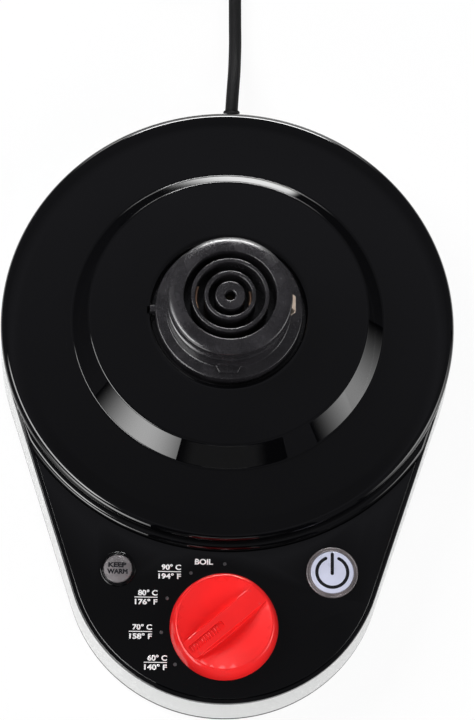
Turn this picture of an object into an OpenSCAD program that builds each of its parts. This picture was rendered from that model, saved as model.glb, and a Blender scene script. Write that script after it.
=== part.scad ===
// Electric kettle power base with a round 360 degree socket, a temperature dial, two buttons and a cord.
// Millimetres. +Z is up, the controls are towards -Y and the cord leaves towards +Y.
// The origin is on the table, under the middle of the casing.

/* [Casing] */
// Diameter of the round platform and of the casing's rear end
platform_d = 170; // [160:1:180]
// Diameter of the casing's front end at the control panel
front_d = 116; // [110:1:122]
// Distance from the platform's axis forward to the centre of the front end
front_reach = 86; // [80:1:92]
// Height of the silver band
skirt_h = 19.5; // [17:0.5:24]
// How far the band's foot stands out past its top edge
skirt_flare = 1; // [0:0.1:2]
// Thickness of the silver band
skirt_t = 1.6; // [1:0.1:2]
// Thickness of the black deck
deck_t = 2.5; // [2:0.1:3.5]
// Thickness of the deck's wall inside the band
deck_wall_t = 2; // [1.5:0.1:2.5]
// Length of that wall below the deck
deck_wall_h = 8; // [5:0.5:9]
// Thickness of the bottom cover
cover_t = 2; // [1.6:0.1:3]
// Height of the rubber feet below the bottom cover
foot_proud = 1.5; // [1:0.1:3]
// Diameter of a rubber foot
foot_d = 16; // [12:0.5:18]
// Diameter of the bosses that the casing screws run in
boss_d = 8; // [7:0.2:9]
// Clearance between fixed pieces that fit together
fit_gap = 0.15; // [0.1:0.01:0.25]
// Radial clearance of pieces that turn or slide
run_gap = 0.08; // [0.05:0.01:0.1]

/* [Platform] */
// Height of the platform's outer ring above the deck
platform_h = 6.5; // [5:0.1:9]
// Wall thickness of the platform
platform_t = 2.2; // [1.8:0.1:2.6]
// Height of the raised kettle seat above the outer ring
seat_rise = 9.4; // [8:0.1:11]
// Diameter of the kettle seat's flat top
seat_d = 104.2; // [98:0.2:108]
// Diameter of the foot of the slope round the seat
seat_foot_d = 116.2; // [112:0.2:122]
// Rounding of the platform's rim
rim_round = 2.4; // [1:0.1:3]
// Diameter of the opening for the socket
socket_hole_d = 57.6; // [57:0.1:59]

/* [Socket] */
// Diameter of the collar that shows in the seat
collar_d = 54.6; // [53:0.1:56]
// Height of the collar above the seat
collar_proud = 2.6; // [2:0.1:4]
// Diameter of the nose that the kettle drops over
nose_d = 45.8; // [45:0.1:47]
// Height of the nose above the collar
nose_h = 16; // [14:0.1:18]
// Outer diameter of the widest slot
wide_slot_d = 34; // [33.5:0.1:35]
// Outer diameter of the outer insulating ring
outer_ring_d = 28.7; // [28:0.1:29.5]
// Outer diameter of the inner insulating ring
inner_ring_d = 19; // [18.5:0.1:19.5]
// Thickness of the insulating rings
ring_t = 1.5; // [1.2:0.1:1.8]
// Diameter of the post round the centre pin's hole
guide_d = 11; // [10.4:0.1:11.6]
// Diameter of the hole for the kettle's centre pin
pin_hole_d = 3.9; // [3.5:0.1:4.3]
// Depth of the slots below the nose's top
slot_depth = 15; // [12:0.5:15.5]
// Diameter of the mounting flange under the seat
socket_flange_d = 72; // [70:0.5:76]
// Thickness of the mounting flange and of the plate that closes it
socket_flange_t = 3; // [2.5:0.1:3.5]
// Thickness of the sheet metal contacts
contact_t = 0.5; // [0.4:0.05:0.6]
// Width of the earth spring
earth_w = 5.4; // [4:0.1:6]

/* [Control panel] */
// Width of the black border outside the inlay plate
panel_border = 1.5; // [1:0.1:2.5]
// Thickness of the inlay plate
panel_t = 1.2; // [1:0.1:1.6]
// How far the inlay plate stands above the deck
panel_proud = 0.2; // [0.1:0.05:0.4]
// Gap between the platform's wall and the inlay plate
panel_gap = 2.5; // [2:0.1:4]

/* [Dial] */
// Diameter of the knob at its foot
knob_d = 39.5; // [36:0.5:42]
// Height of the knob
knob_h = 7.8; // [7.4:0.1:10]
// Distance from the middle of the control panel forward to the knob's axis
knob_reach = 1.5; // [0:0.1:3]
// Gap between the knob and the panel
knob_gap = 0.4; // [0.3:0.05:0.8]
// Width of the grip bar
bar_w = 7.5; // [6.8:0.1:9]
// Depth of the finger scoops
scoop_depth = 4.6; // [4:0.1:4.9]
// Direction of the pointer in the stored pose, anticlockwise from +X
pointer_angle = 221; // [216:1:224]
// Diameter of the dial's shaft
shaft_d = 6; // [5:0.1:6.5]
// Radius of the circle of indicator lights
mark_r = 22.9; // [22.5:0.1:24.5]
// Angle between indicator lights
mark_step = 32.5; // [28:0.5:34]
// Diameter of an indicator light
lens_d = 1.3; // [1:0.1:1.8]

/* [Buttons] */
// Outer diameter of the power button's ring
power_d = 19; // [18:0.1:20]
// Diameter of the power button's face
power_face_d = 15.8; // [15:0.1:16.4]
// Sideways place of the power button
power_x = 39.3; // [37:0.1:40]
// Distance from the middle of the control panel back to the power button
power_reach = 19.5; // [18:0.1:21]
// Outer diameter of the keep warm button's ring
warm_d = 13; // [12.4:0.1:14]
// Diameter of the keep warm button's face
warm_face_d = 10.6; // [10:0.1:11]
// Sideways place of the keep warm button
warm_x = -39; // [-40:0.1:-37]
// Distance from the middle of the control panel back to the keep warm button
warm_reach = 19.5; // [17:0.1:22]
// Height of the buttons' rings above the panel
bezel_h = 0.7; // [0.5:0.1:1.2]
// Travel of a button
button_travel = 0.8; // [0.4:0.1:1]

/* [Circuit boards] */
// Thickness of the circuit boards
board_t = 1.6; // [1.2:0.1:2]
// Distance from the deck down to the control board
board_drop = 8; // [7.5:0.1:8.5]
// Width of the power board
power_board_w = 28; // [26:0.5:29]
// Length of the power board
power_board_l = 47; // [45:0.5:49]
// Height of the power board's posts
post_h = 4.5; // [4:0.1:6]
// Height of the tallest piece on the power board
tall_h = 11.5; // [10:0.1:11.8]
// Diameter of the small self-tapping screws
screw_d = 2.4; // [2:0.1:2.6]
// Diameter of a connecting wire
wire_d = 1.6; // [1.2:0.1:1.6]

/* [Cord] */
// Diameter of the mains cord
cord_d = 5; // [4.6:0.1:5.1]
// Length of the strain relief outside the casing
gland_out = 8.5; // [6:0.1:10]
// Length of the strain relief inside the casing
gland_in = 13.5; // [12:0.1:16]
// Radius of the coil where the cord enters it
coil_r = 33; // [31:0.5:36]
// Distance between neighbouring turns of the coil
coil_pitch = 5.6; // [5.6:0.1:6.4]
// Turns of the coil
coil_turns = 4.25; // [3.25:1:5.25]
// Length of the plug's body
plug_l = 24; // [20:0.5:28]
// Width of the plug's body
plug_w = 25; // [24:0.5:28]

/* [Hidden] */
$fn = 72;
eps = 0.01;
outline_step = 3;
corner_step = 15;
fine_fn = 144;
turn_rings = 24;
lead_sides = 8;
coil_sides = 6;
wire_sides = 8;
wire_steps = 4;

// Plan of the casing
rear_r = platform_d / 2;
front_r = front_d / 2;
axis_y = (front_reach + front_r - rear_r) / 2;
front_y = axis_y - front_reach;
side_angle = asin((rear_r - front_r) / front_reach);
socket_at = [0, axis_y, 0];
rear_end = rear_r + skirt_flare + axis_y;
// The controls keep to the middle between the platform's wall and the front end
panel_mid_y = (axis_y - rear_r + front_y - front_r) / 2;

// Heights above the table
cover_z = foot_proud;
floor_z = cover_z + cover_t;
deck_z = floor_z + skirt_h;
deck_top = deck_z + deck_t;
panel_top = deck_top + panel_proud;
panel_bottom = panel_top - panel_t;
ring_top = deck_top + platform_h;
seat_top = ring_top + seat_rise;
seat_under = seat_top - platform_t;
collar_top = seat_top + collar_proud;
nose_top = collar_top + nose_h;
slot_floor = nose_top - slot_depth;
board_top = deck_z - board_drop;
board_bottom = board_top - board_t;
power_board_z = floor_z + post_h;
power_board_top = power_board_z + board_t;

// Casing bosses and screws
lower_boss_h = 5.5;
split_z = floor_z + lower_boss_h;
upper_boss_d = boss_d - 1.4;
boss_inset = 13;
front_boss_inset = 7.2;
side_share = 0.7;
side_inset = 14;
screw_head_d = 5.8;
screw_head_h = 2;
screw_head_play = 0.3;
screw_seat_h = 3;
screw_seat = cover_z + screw_seat_h;
casing_screw_d = 2.8;
casing_screw_l = 14;
thread_gap = 0.05;
side_centre = [0, axis_y - front_reach * side_share];
side_r = rear_r + (front_r - rear_r) * side_share - side_inset;
rear_bosses = [for (a = [30, 65, 115, 150]) [0, axis_y] + (rear_r - boss_inset) * [cos(a), sin(a)]];
side_bosses = [for (s = [-1, 1]) side_centre + side_r * [s * cos(side_angle), -sin(side_angle)]];
front_boss = [0, front_y - front_r + front_boss_inset];
bosses = concat(rear_bosses, side_bosses, [front_boss]);

// Rubber feet
foot_inset = 12;
foot_peg_d = 4.8;
foot_peg_h = 3;
front_foot_inset = 15.5;
rear_feet = [for (a = [-13, 48, 132, 193]) [0, axis_y] + (rear_r - foot_inset) * [cos(a), sin(a)]];
front_feet = [for (a = [225, 315]) [0, front_y] + (front_r - front_foot_inset) * [cos(a), sin(a)]];
feet = concat(rear_feet, front_feet);

// Air slots in the bottom cover
vent_count = 6;
vent_size = [20, 2];
vent_pitch = 5;
vent_x = 22;
vent_y = axis_y + 34;

// Platform fixings
deck_hole_margin = 3;
deck_hole_r = seat_foot_d / 2 + deck_hole_margin;
platform_boss_d = 6;
platform_boss_inset = 5;
platform_boss_r = deck_hole_r + platform_boss_inset;
platform_bosses = [for (a = [40, 140, 220, 320]) [0, axis_y] + platform_boss_r * [cos(a), sin(a)]];
small_head_d = 4.4;
small_head_h = 1.5;
small_screw_l = 5;
short_screw_l = 3;

// Socket
socket_gap = 0.06;
socket_boss_h = 2.2;
flange_top = seat_under - socket_boss_h;
flange_z = flange_top - socket_flange_t;
back_z = flange_z - socket_flange_t;
carrier_flange_d = wide_slot_d + 6;
carrier_flange_t = 3;
carrier_floor_t = 4;
carrier_support_t = 2.5;
carrier_z = slot_floor - carrier_floor_t;
lip_h = 3.9;
lip_groove = 0.7;
groove_w = 2.4;
groove_edge = 0.2;
lip_rise = 10.4;
shoulder_steps = 10;
key_w = 2.4;
key_reach = 29.2;
key_room = 1.1;
key_lift = 0.5;
key_root = 2;
key_play = 0.3;
latch_w = 9.6;
latch_tip_w = 6.6;
latch_l = 2.3;
latch_h = 1.4;
latch_root = 1;
outer_ring_drop = 0.4;
guide_drop = 0.6;
guide_floor = 3;
socket_screw_inset = 4;
socket_screw_r = socket_flange_d / 2 - socket_screw_inset;
socket_screw_grip = 1.8;
socket_screw_angles = [90, 210, 330];
tab_w = 3;
tab_l = 7;
tab_z = back_z - tab_l;
tab_gap = 0.1;
tab_overlap = 0.6;
contact_rise = 11;
contact_angle = 40;
contact_gap = 0.2;
live_r = inner_ring_d / 2 - ring_t - contact_t - contact_gap;
neutral_r = outer_ring_d / 2 - ring_t - contact_t - contact_gap;
centre_contact_d = 2.6;
centre_contact_rise = 2.6;
earth_inset = 1.4;
earth_r = nose_d / 2 - earth_inset;
earth_bulge = 2.3;
earth_rise = 0.8;
earth_z0 = collar_top + earth_rise;
earth_h = 11;
earth_flat = 1.2;
earth_tip = 0.2;
earth_play = 0.3;
earth_side_play = 0.2;

// Dial
knob_at = [0, panel_mid_y - knob_reach, 0];
knob_z = panel_top + knob_gap;
knob_draft = 1.6;
knob_round = 1.2;
knob_rim = 1;
knob_r = knob_d / 2;
knob_boss_d = 10;
knob_boss_h = 4.5;
knob_hollow = 1.6;
knob_wall = 3;
knob_boss_play = 0.6;
shaft_grip = 8;
shaft_foot = 1.5;
shaft_z = board_top + shaft_foot;
shaft_end_gap = 0.3;
shaft_top = knob_z - knob_boss_h + shaft_grip;
scoop_r = knob_r - knob_rim - knob_draft;
scoop_sphere = (scoop_r * scoop_r + scoop_depth * scoop_depth) / (2 * scoop_depth);
slot_l = 15.6;
slot_w = 2.9;
slot_inset = 0.9;
slot_end = scoop_r - slot_inset;
slot_h = 0.9;
rib_w = 0.5;
rib_h = 0.4;
rib_pitch = 1.2;
rib_count = floor(slot_l / rib_pitch) - 1;
selector_w = 16;
selector_l = 14;
selector_gap = 0.6;
selector_h = knob_z - knob_boss_h - selector_gap - board_top;
mark_shift = 0.7;
mark_centre = knob_at + [0, mark_shift, 0];
marks = [for (i = [0:4]) mark_centre + mark_r * [cos(90 + i * mark_step), sin(90 + i * mark_step), 0]];

// Buttons
power_at = [power_x, panel_mid_y + power_reach, 0];
warm_at = [warm_x, panel_mid_y + warm_reach, 0];
sleeve_t = 1;
sleeve_below = 0.6;
button_rest_gap = 0.1;
button_lip = 0.7;
button_lip_t = 0.8;
button_crown = 0.5;
button_proud = 0.3;
stem_d = 4;
switch_w = 6;
switch_h = 3.5;
plunger_d = 3.4;
plunger_proud = 0.9;
plunger_l = 1.8;
plunger_play = 0.2;
sleeve_bottom = deck_z - sleeve_below;
lip_top = sleeve_bottom - button_rest_gap;
lip_bottom = lip_top - button_lip_t;
plunger_top = board_top + switch_h + plunger_proud;

// Boards and what they carry
board_inset = 6.5;
board_reach = 27.5;
control_board_r = front_r - board_inset;
board_edge_y = panel_mid_y + board_reach;
rear_post = [24, 24];
side_post = [30, -3];
control_posts = [for (s = [-1, 1], p = [rear_post, side_post]) [s * p[0], panel_mid_y + p[1]]];
post_d = 5.2;
led_size = [2, 1.2, 0.8];
lens_above_led = 0.8;
lens_collar_d = 2.4;
lens_collar_h = 1.2;
board_side_gap = 2;
power_board_x = -socket_flange_d / 2 - board_side_gap - power_board_w / 2;
power_board_at = [power_board_x, axis_y];
post_inset = 3.2;
power_posts = [for (sx = [-1, 1], sy = [-1, 1])
    power_board_at + [sx * (power_board_w / 2 - post_inset), sy * (power_board_l / 2 - post_inset)]];
block_size = [16, 9, 10];
pole_pitch = 5;
block_at = power_board_at + [0, power_board_l / 2 - 5];
relay_size = [18, 14, tall_h];
relay_at = power_board_at + [-4, 4];
transformer_size = [14, 12, tall_h - 1];
transformer_at = power_board_at + [-4, -10.5];
capacitor_d = 7;
capacitor_h = 10.5;
capacitor_at = power_board_at + [8, -10.5];
connector_size = [8, 4, 4];
connector_at = power_board_at + [0, -power_board_l / 2 + 2.5];
far_connector_at = [-10, board_edge_y - 4];
ribbon_w = 6;
ribbon_t = 0.9;
ribbon_straight = 6;
ribbon_sag = 2;
wire_gap = 0.15;
pole_height = 4;
socket_wire_pitch = 3.4;
socket_wire_inset = 2.5;

// Mains cord, laid on the table
cord_r = cord_d / 2;
lay_gap = 0.05;
gland_r = 4.6;
gland_tip_r = 3.3;
gland_flange_r = 5.2;
gland_flange_t = 1.5;
gland_gap = 0.05;
gland_play = 0.4;
gland_bore_r = cord_r + gland_gap;
gland_cut_l = 20;
lead_offsets = [
    [1, -27.5, 9], [1, -20.5, 9], [1, -12.5, 9], [1, -4.5, 9], [1, 3.5, 9], [1, 8.5, 9], [1.2, 13.5, 8.8],
    [1.6, 20.5, 7.8], [2, 27.5, 6], [2.2, 34.5, 4.2], [2.3, 41.5, 3], [2.2, 48.5, 2.6], [2.1, 56.5, 2.55],
    [2, 64.5, 2.6], [2, 72.5, 2.8], [2, 80.5, 3.1], [2, 87.5, 3.3], [2, 94.5, 3.3]
];
lead_route = [for (p = lead_offsets) [p[0], rear_end + p[1], p[2]]];
lead_start = lead_route[0];
lead_end = lead_route[len(lead_route) - 1];
cord_x = lead_start[0];
cord_inner_y = lead_start[1];
cord_z = lead_start[2];
coil_z = lead_end[2];
coil_at = [lead_end[0] - coil_r, lead_end[1] + cord_d];
coil_reversal = 720;
climb_angle = 180;
coil_end_r = coil_r - coil_pitch * (2 * coil_reversal / 360 - coil_turns);
tail_l = 3 * cord_d;
coil_end = [coil_at[0] - tail_l, coil_at[1] + coil_end_r, coil_z + coil_pitch];
tie_w = 5;
tie_t = 0.5;
tie_gap = 0.5;
tie_angle = 180;
clamp_inset = 22.5;
clamp_y = rear_end - clamp_inset;
clamp_post_x = 8;
clamp_post_d = 6;
clamp_bar = [24, 8, 3];
clamp_gap = 0.1;
saddle_w = 6;
clamp_z = cord_z + cord_r + clamp_gap;
clamp_posts = [for (s = [-1, 1]) [cord_x + s * clamp_post_x, clamp_y]];
plug_neck_l = 18;
plug_neck_r = 6;
plug_neck_t = 1;
plug_h = 2 * (coil_end[2] - lay_gap);
plug_corner = 4;
blade_size = [18, 6.3, 1.5];
blade_spacing = 12.7;
blade_y = 4;
earth_pin_d = 4.75;
earth_pin_l = 20.5;
earth_pin_offset = 11.9;
earth_pin_y = blade_y - earth_pin_offset;
pin_seat = 5;
plug_back_x = coil_end[0] - plug_neck_l;
plug_face_x = plug_back_x - plug_l;

// Outline of the casing: two round ends and the straight sides that touch both, drawn in by inset
function arc(centre, r, from, to, step = outline_step) =
    let (count = 2 * ceil(abs(to - from) / step / 2))
    [for (i = [0:count]) let (a = from + (to - from) * i / count) centre + r * [cos(a), sin(a)]];
function outline(inset) = concat(
    arc([0, axis_y], rear_r - inset, -side_angle, 180 + side_angle),
    arc([0, front_y], front_r - inset, 180 + side_angle, 360 - side_angle));
function lifted(points, z) = [for (p = points) [p[0], p[1], z]];

// Swept solids: a section carried along a path, with its first direction given
function unit(v) = v / norm(v);
function tangents(p) = let (last = len(p) - 1) [for (i = [0:last])
    i == 0 ? unit(p[1] - p[0]) :
    i == last ? unit(p[last] - p[last - 1]) :
    unit(unit(p[i + 1] - p[i]) + unit(p[i] - p[i - 1]))];
function flat_part(v, t) = unit(v - t * (v * t));
function normals(t, start) = [for (i = 0, n = flat_part(start, t[0]); i < len(t);
    i = i + 1, n = i < len(t) ? flat_part(n, t[i]) : n) n];
function ring_section(r, sides) = [for (i = [0:sides - 1]) r * [cos(360 * i / sides), sin(360 * i / sides)]];
function strip_section(w, t) = [[w / 2, t / 2], [-w / 2, t / 2], [-w / 2, -t / 2], [w / 2, -t / 2]];
function curve_point(p, i, s) =
    let (last = len(p) - 1, a = p[max(i - 1, 0)], b = p[i], c = p[min(i + 1, last)], d = p[min(i + 2, last)])
    0.5 * (2 * b + (c - a) * s + (2 * a - 5 * b + 4 * c - d) * s * s + (3 * b - a - 3 * c + d) * s * s * s);
function smooth_path(p, steps) = concat(
    [for (i = [0:len(p) - 2], k = [0:steps - 1]) curve_point(p, i, k / steps)], [p[len(p) - 1]]);
// A wire's ends stay straight, so that they meet what they join square
function wire_path(p, steps) = concat(
    [p[0]], smooth_path([for (i = [1:len(p) - 2]) p[i]], steps), [p[len(p) - 1]]);

module sweep(path, section, start = [1, 0, 0]) {
    t = tangents(path);
    n = normals(t, start);
    sides = len(section);
    rings = len(path);
    points = [for (i = [0:rings - 1], s = section) path[i] + n[i] * s[0] + cross(t[i], n[i]) * s[1]];
    walls = [for (i = [0:rings - 2], k = [0:sides - 1])
        let (a = i * sides + k, b = i * sides + (k + 1) % sides)
        each [[a, a + sides, b], [b, a + sides, b + sides]]];
    first = [for (k = [1:sides - 2]) [0, k, k + 1]];
    base = (rings - 1) * sides;
    last = [for (k = [1:sides - 2]) [base, base + k + 1, base + k]];
    polyhedron(points, concat(walls, first, last));
}

// A cylinder standing at each of a list of plan points
module posts(at, d, z0, z1) {
    for (p = at) translate([p[0], p[1], z0]) cylinder(d = d, h = z1 - z0);
}

// A block that stands on a plan point
module block(at, size, z) {
    translate([at[0] - size[0] / 2, at[1] - size[1] / 2, z]) cube(size);
}

// A pan head screw that points up, with its head's upper face at z
module screw_up(at, d, l, head_d, head_h, z) {
    posts([at], head_d, z - head_h, z);
    posts([at], d, z - eps, z + l);
}

// A pan head screw that points down, with its head's lower face at z
module screw_down(at, d, l, head_d, head_h, z) {
    posts([at], head_d, z, z + head_h);
    posts([at], d, z - l, z + eps);
}

// The inlay plate's outline, cut by the platform's arc
module panel_shape(grow = 0) {
    difference() {
        polygon(outline(panel_border - grow));
        translate([0, axis_y]) circle(r = rear_r + panel_gap - grow, $fn = fine_fn);
    }
}

// Openings that the panel and the deck share, larger than the pieces in them by fit_gap
module control_openings(z0, z1) {
    posts([knob_at], knob_boss_d + 2 * knob_boss_play, z0, z1);
    posts([power_at], power_face_d + 2 * (run_gap + sleeve_t + fit_gap), z0, z1);
    posts([warm_at], warm_face_d + 2 * (run_gap + sleeve_t + fit_gap), z0, z1);
    posts(marks, lens_d + 2 * run_gap, z0, z1);
}

// Casing

module bottom_cover() {
    color("#1b1b1d") difference() {
        union() {
            translate([0, 0, cover_z]) linear_extrude(cover_t) polygon(outline(-skirt_flare));
            posts(bosses, boss_d, floor_z - eps, split_z);
            posts(power_posts, post_d, floor_z - eps, power_board_z);
            posts(clamp_posts, clamp_post_d, floor_z - eps, clamp_z);
            block([cord_x, clamp_y], [saddle_w, clamp_bar[1], cord_z - cord_r - clamp_gap - floor_z + eps],
                floor_z - eps);
        }
        posts(bosses, screw_head_d + 2 * screw_head_play, cover_z - eps, screw_seat);
        posts(bosses, casing_screw_d + 2 * fit_gap, cover_z, split_z + eps);
        posts(feet, foot_peg_d + 2 * fit_gap, cover_z - eps, floor_z + eps);
        posts(power_posts, screw_d + 2 * thread_gap, floor_z, power_board_z + eps);
        posts(clamp_posts, screw_d + 2 * thread_gap, floor_z, clamp_z + eps);
        for (s = [-1, 1], i = [0:vent_count - 1])
            block([s * vent_x + cord_x, vent_y + i * vent_pitch],
                [vent_size[0], vent_size[1], cover_t + 2 * eps], cover_z - eps);
    }
}

module rubber_feet() {
    color("#2a2a2b") {
        posts(feet, foot_d, 0, cover_z);
        posts(feet, foot_peg_d, cover_z - eps, cover_z + foot_peg_h);
    }
}

module housing_screws() {
    color("#9a9a9c") for (p = bosses)
        screw_up(p, casing_screw_d, casing_screw_l, screw_head_d, screw_head_h, screw_seat);
}

module skirt_band() {
    loops = [
        lifted(outline(-skirt_flare), floor_z),
        lifted(outline(0), deck_z),
        lifted(outline(skirt_t), deck_z),
        lifted(outline(skirt_t - skirt_flare), floor_z)
    ];
    count = len(loops[0]);
    points = [for (l = loops) each l];
    faces = [for (l = [0:3], i = [0:count - 1])
        let (j = (i + 1) % count, m = (l + 1) % 4)
        each [[l * count + i, m * count + i, l * count + j], [l * count + j, m * count + i, m * count + j]]];
    color("#b9bbbd") difference() {
        polyhedron(points, faces);
        translate([cord_x, rear_end + gland_cut_l / 2, cord_z]) rotate([90, 0, 0])
            cylinder(r = gland_r + fit_gap, h = gland_cut_l);
    }
}

module upper_housing() {
    wall_inset = skirt_t + fit_gap;
    color("#111113") difference() {
        union() {
            translate([0, 0, deck_z]) linear_extrude(deck_t) polygon(outline(0));
            translate([0, 0, deck_z - deck_wall_h]) linear_extrude(deck_wall_h + eps) difference() {
                polygon(outline(wall_inset));
                polygon(outline(wall_inset + deck_wall_t));
            }
            posts(bosses, upper_boss_d, split_z, deck_z + eps);
            posts(control_posts, post_d, board_top, deck_z + eps);
        }
        translate([0, axis_y, deck_z - eps]) cylinder(r = deck_hole_r, h = deck_t + 2 * eps, $fn = fine_fn);
        translate([0, 0, panel_bottom]) linear_extrude(panel_t) panel_shape(fit_gap);
        control_openings(deck_z - eps, deck_top + eps);
        posts(bosses, casing_screw_d + 2 * thread_gap, split_z - eps, deck_z);
        posts(control_posts, screw_d + 2 * thread_gap, board_top - eps, deck_z);
        posts(platform_bosses, screw_d + 2 * fit_gap, deck_z - eps, deck_top + eps);
    }
}

// Platform

module kettle_platform() {
    slope = platform_t / 2;
    hole_r = socket_hole_d / 2;
    edge = 0.8;
    rim = arc([rear_r - rim_round, ring_top - rim_round], rim_round, 0, 90, corner_step);
    hole_edge = arc([hole_r + edge, seat_top - edge], edge, 90, 180, corner_step);
    profile = concat(
        [[rear_r - platform_t, deck_top], [rear_r, deck_top]], rim,
        [[seat_foot_d / 2, ring_top], [seat_d / 2, seat_top]], hole_edge,
        [[hole_r, seat_under], [seat_d / 2 - slope, seat_under],
         [seat_foot_d / 2 - slope, ring_top - platform_t], [rear_r - platform_t, ring_top - platform_t]]);
    color("#0f0f11") difference() {
        union() {
            translate(socket_at) rotate_extrude($fn = fine_fn) polygon(profile);
            posts(platform_bosses, platform_boss_d, deck_top, ring_top - platform_t + eps);
            posts(socket_points(), platform_boss_d, flange_top, seat_under + eps);
        }
        posts(platform_bosses, screw_d + 2 * thread_gap, deck_top - eps, ring_top - platform_t);
        posts(socket_points(), screw_d + 2 * thread_gap, flange_top - eps, seat_under);
        translate(socket_at + [-key_reach - key_room, -key_w / 2 - key_play, seat_under - eps])
            cube([key_room + key_reach - hole_r + key_root, key_w + 2 * key_play, 2 * platform_t]);
    }
}

module platform_screws() {
    color("#9a9a9c") for (p = platform_bosses)
        screw_up(p, screw_d, deck_t + short_screw_l, small_head_d, small_head_h, deck_z);
}

// Socket

function socket_points() =
    [for (a = socket_screw_angles) socket_at + socket_screw_r * [cos(a), sin(a), 0]];

module socket_nose() {
    bore_r = wide_slot_d / 2;
    nose_r = nose_d / 2;
    lip_z = collar_top + lip_rise;
    shoulder_w = nose_r - bore_r;
    shoulder_h = nose_top - lip_z - lip_h;
    shoulder = [for (i = [0:shoulder_steps]) let (a = 90 * i / shoulder_steps)
        [bore_r + shoulder_w * cos(a), lip_z + lip_h + shoulder_h * sin(a)]];
    chamfer = 0.5;
    profile = concat(
        [[carrier_flange_d / 2 + socket_gap, flange_z], [socket_flange_d / 2, flange_z],
         [socket_flange_d / 2, flange_top], [collar_d / 2, flange_top],
         [collar_d / 2, collar_top - chamfer], [collar_d / 2 - chamfer, collar_top],
         [nose_r, collar_top], [nose_r, lip_z - groove_w],
         [nose_r - lip_groove, lip_z - groove_w + groove_edge],
         [nose_r - lip_groove, lip_z - groove_edge], [nose_r, lip_z]],
        shoulder,
        [[bore_r, carrier_z + carrier_flange_t + socket_gap],
         [carrier_flange_d / 2 + socket_gap, carrier_z + carrier_flange_t + socket_gap]]);
    color("#3a3a3e") difference() {
        union() {
            translate(socket_at) rotate_extrude($fn = fine_fn) polygon(profile);
            translate(socket_at + [-key_reach, -key_w / 2, seat_under + key_lift])
                cube([key_reach - collar_d / 2 + key_root, key_w, collar_top - seat_under - 2 * key_lift]);
            translate(socket_at + [0, 0, collar_top - eps]) linear_extrude(latch_h) polygon([
                [-latch_w / 2, -nose_r + latch_root], [latch_w / 2, -nose_r + latch_root],
                [latch_tip_w / 2, -nose_r - latch_l], [-latch_tip_w / 2, -nose_r - latch_l]]);
        }
        posts(socket_points(), screw_d + 2 * fit_gap, flange_z - eps, flange_top + eps);
        earth_window(flange_z - eps, earth_z0 + earth_h + earth_play);
    }
}

// The slot for the earth spring, open outwards above the collar
module earth_window(z0, z1) {
    corner = socket_at + [earth_r - earth_play, -earth_w / 2 - earth_side_play, 0];
    wide = earth_w + 2 * earth_side_play;
    translate(corner + [0, 0, z0]) cube([contact_t + 2 * earth_play, wide, z1 - z0]);
    if (z1 > earth_z0)
        translate(corner + [0, 0, earth_z0 - earth_play]) cube([nose_d, wide, z1 - earth_z0 + earth_play]);
}

// Cuts for the flat tabs of the contacts
module tab_cuts(z0, z1) {
    for (x = [live_r, -neutral_r])
        translate(socket_at + [x - (x < 0 ? contact_t : 0) - tab_gap, -tab_w / 2 - tab_gap, z0])
            cube([contact_t + 2 * tab_gap, tab_w + 2 * tab_gap, z1 - z0]);
    translate(socket_at + [0, 0, z0]) cylinder(d = centre_contact_d + 2 * tab_gap, h = z1 - z0);
}

module contact_carrier() {
    ring_top_z = nose_top - outer_ring_drop;
    color("#333337") difference() {
        translate(socket_at) union() {
            translate([0, 0, carrier_z]) cylinder(d = carrier_flange_d, h = carrier_flange_t);
            translate([0, 0, carrier_z]) cylinder(d = wide_slot_d - 2 * socket_gap, h = carrier_floor_t);
            for (d = [outer_ring_d, inner_ring_d]) translate([0, 0, slot_floor - eps]) difference() {
                cylinder(d = d, h = ring_top_z - slot_floor);
                translate([0, 0, -eps]) cylinder(d = d - 2 * ring_t, h = nose_h + slot_depth);
            }
        }
        tab_cuts(carrier_z - eps, slot_floor + eps);
    }
}

module centre_guide() {
    top = nose_top - guide_drop;
    edge = 0.5;
    low_r = centre_contact_d / 2 + tab_gap;
    hole_z = slot_floor + guide_floor;
    profile = [
        [low_r, slot_floor], [guide_d / 2, slot_floor], [guide_d / 2, top - edge],
        [guide_d / 2 - edge, top], [pin_hole_d / 2 + edge, top], [pin_hole_d / 2, top - edge],
        [pin_hole_d / 2, hole_z], [low_r, hole_z]];
    color("#3a3a3e") translate(socket_at) rotate_extrude() polygon(profile);
}

module socket_back() {
    color("#2c2c30") difference() {
        translate(socket_at + [0, 0, back_z]) cylinder(d = socket_flange_d, h = socket_flange_t);
        tab_cuts(back_z - eps, flange_z + eps);
        translate(socket_at + [earth_r - earth_side_play, -earth_w / 2 - earth_side_play, back_z - eps])
            cube([contact_t + 2 * earth_side_play, earth_w + 2 * earth_side_play, 2 * socket_flange_t]);
        posts(socket_points(), screw_d + 2 * fit_gap, back_z - eps, flange_z + eps);
    }
    color("#2c2c30") translate(socket_at + [0, 0, flange_z - eps]) difference() {
        cylinder(d = carrier_flange_d, h = carrier_z - flange_z + eps);
        translate([0, 0, -eps])
            cylinder(d = carrier_flange_d - 2 * carrier_support_t, h = 2 * (carrier_z - flange_z));
    }
}

module socket_screws() {
    color("#9a9a9c") for (p = socket_points())
        screw_up(p, screw_d, 2 * socket_flange_t + socket_screw_grip, small_head_d, small_head_h, back_z);
}

// A curved contact that stands in a slot, with a flat tab through the socket's floor
module slot_contact(r, turned) {
    translate(socket_at) rotate([0, 0, turned]) {
        rotate([0, 0, -contact_angle / 2]) translate([0, 0, slot_floor]) rotate_extrude(angle = contact_angle)
            translate([r, 0]) square([contact_t, contact_rise]);
        translate([r, -tab_w / 2, tab_z]) cube([contact_t, tab_w, slot_floor - tab_z + tab_overlap]);
    }
}

module live_contact() {
    color("#b87a4a") slot_contact(live_r, 0);
}

module neutral_contact() {
    color("#b87a4a") slot_contact(neutral_r, 180);
}

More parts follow.
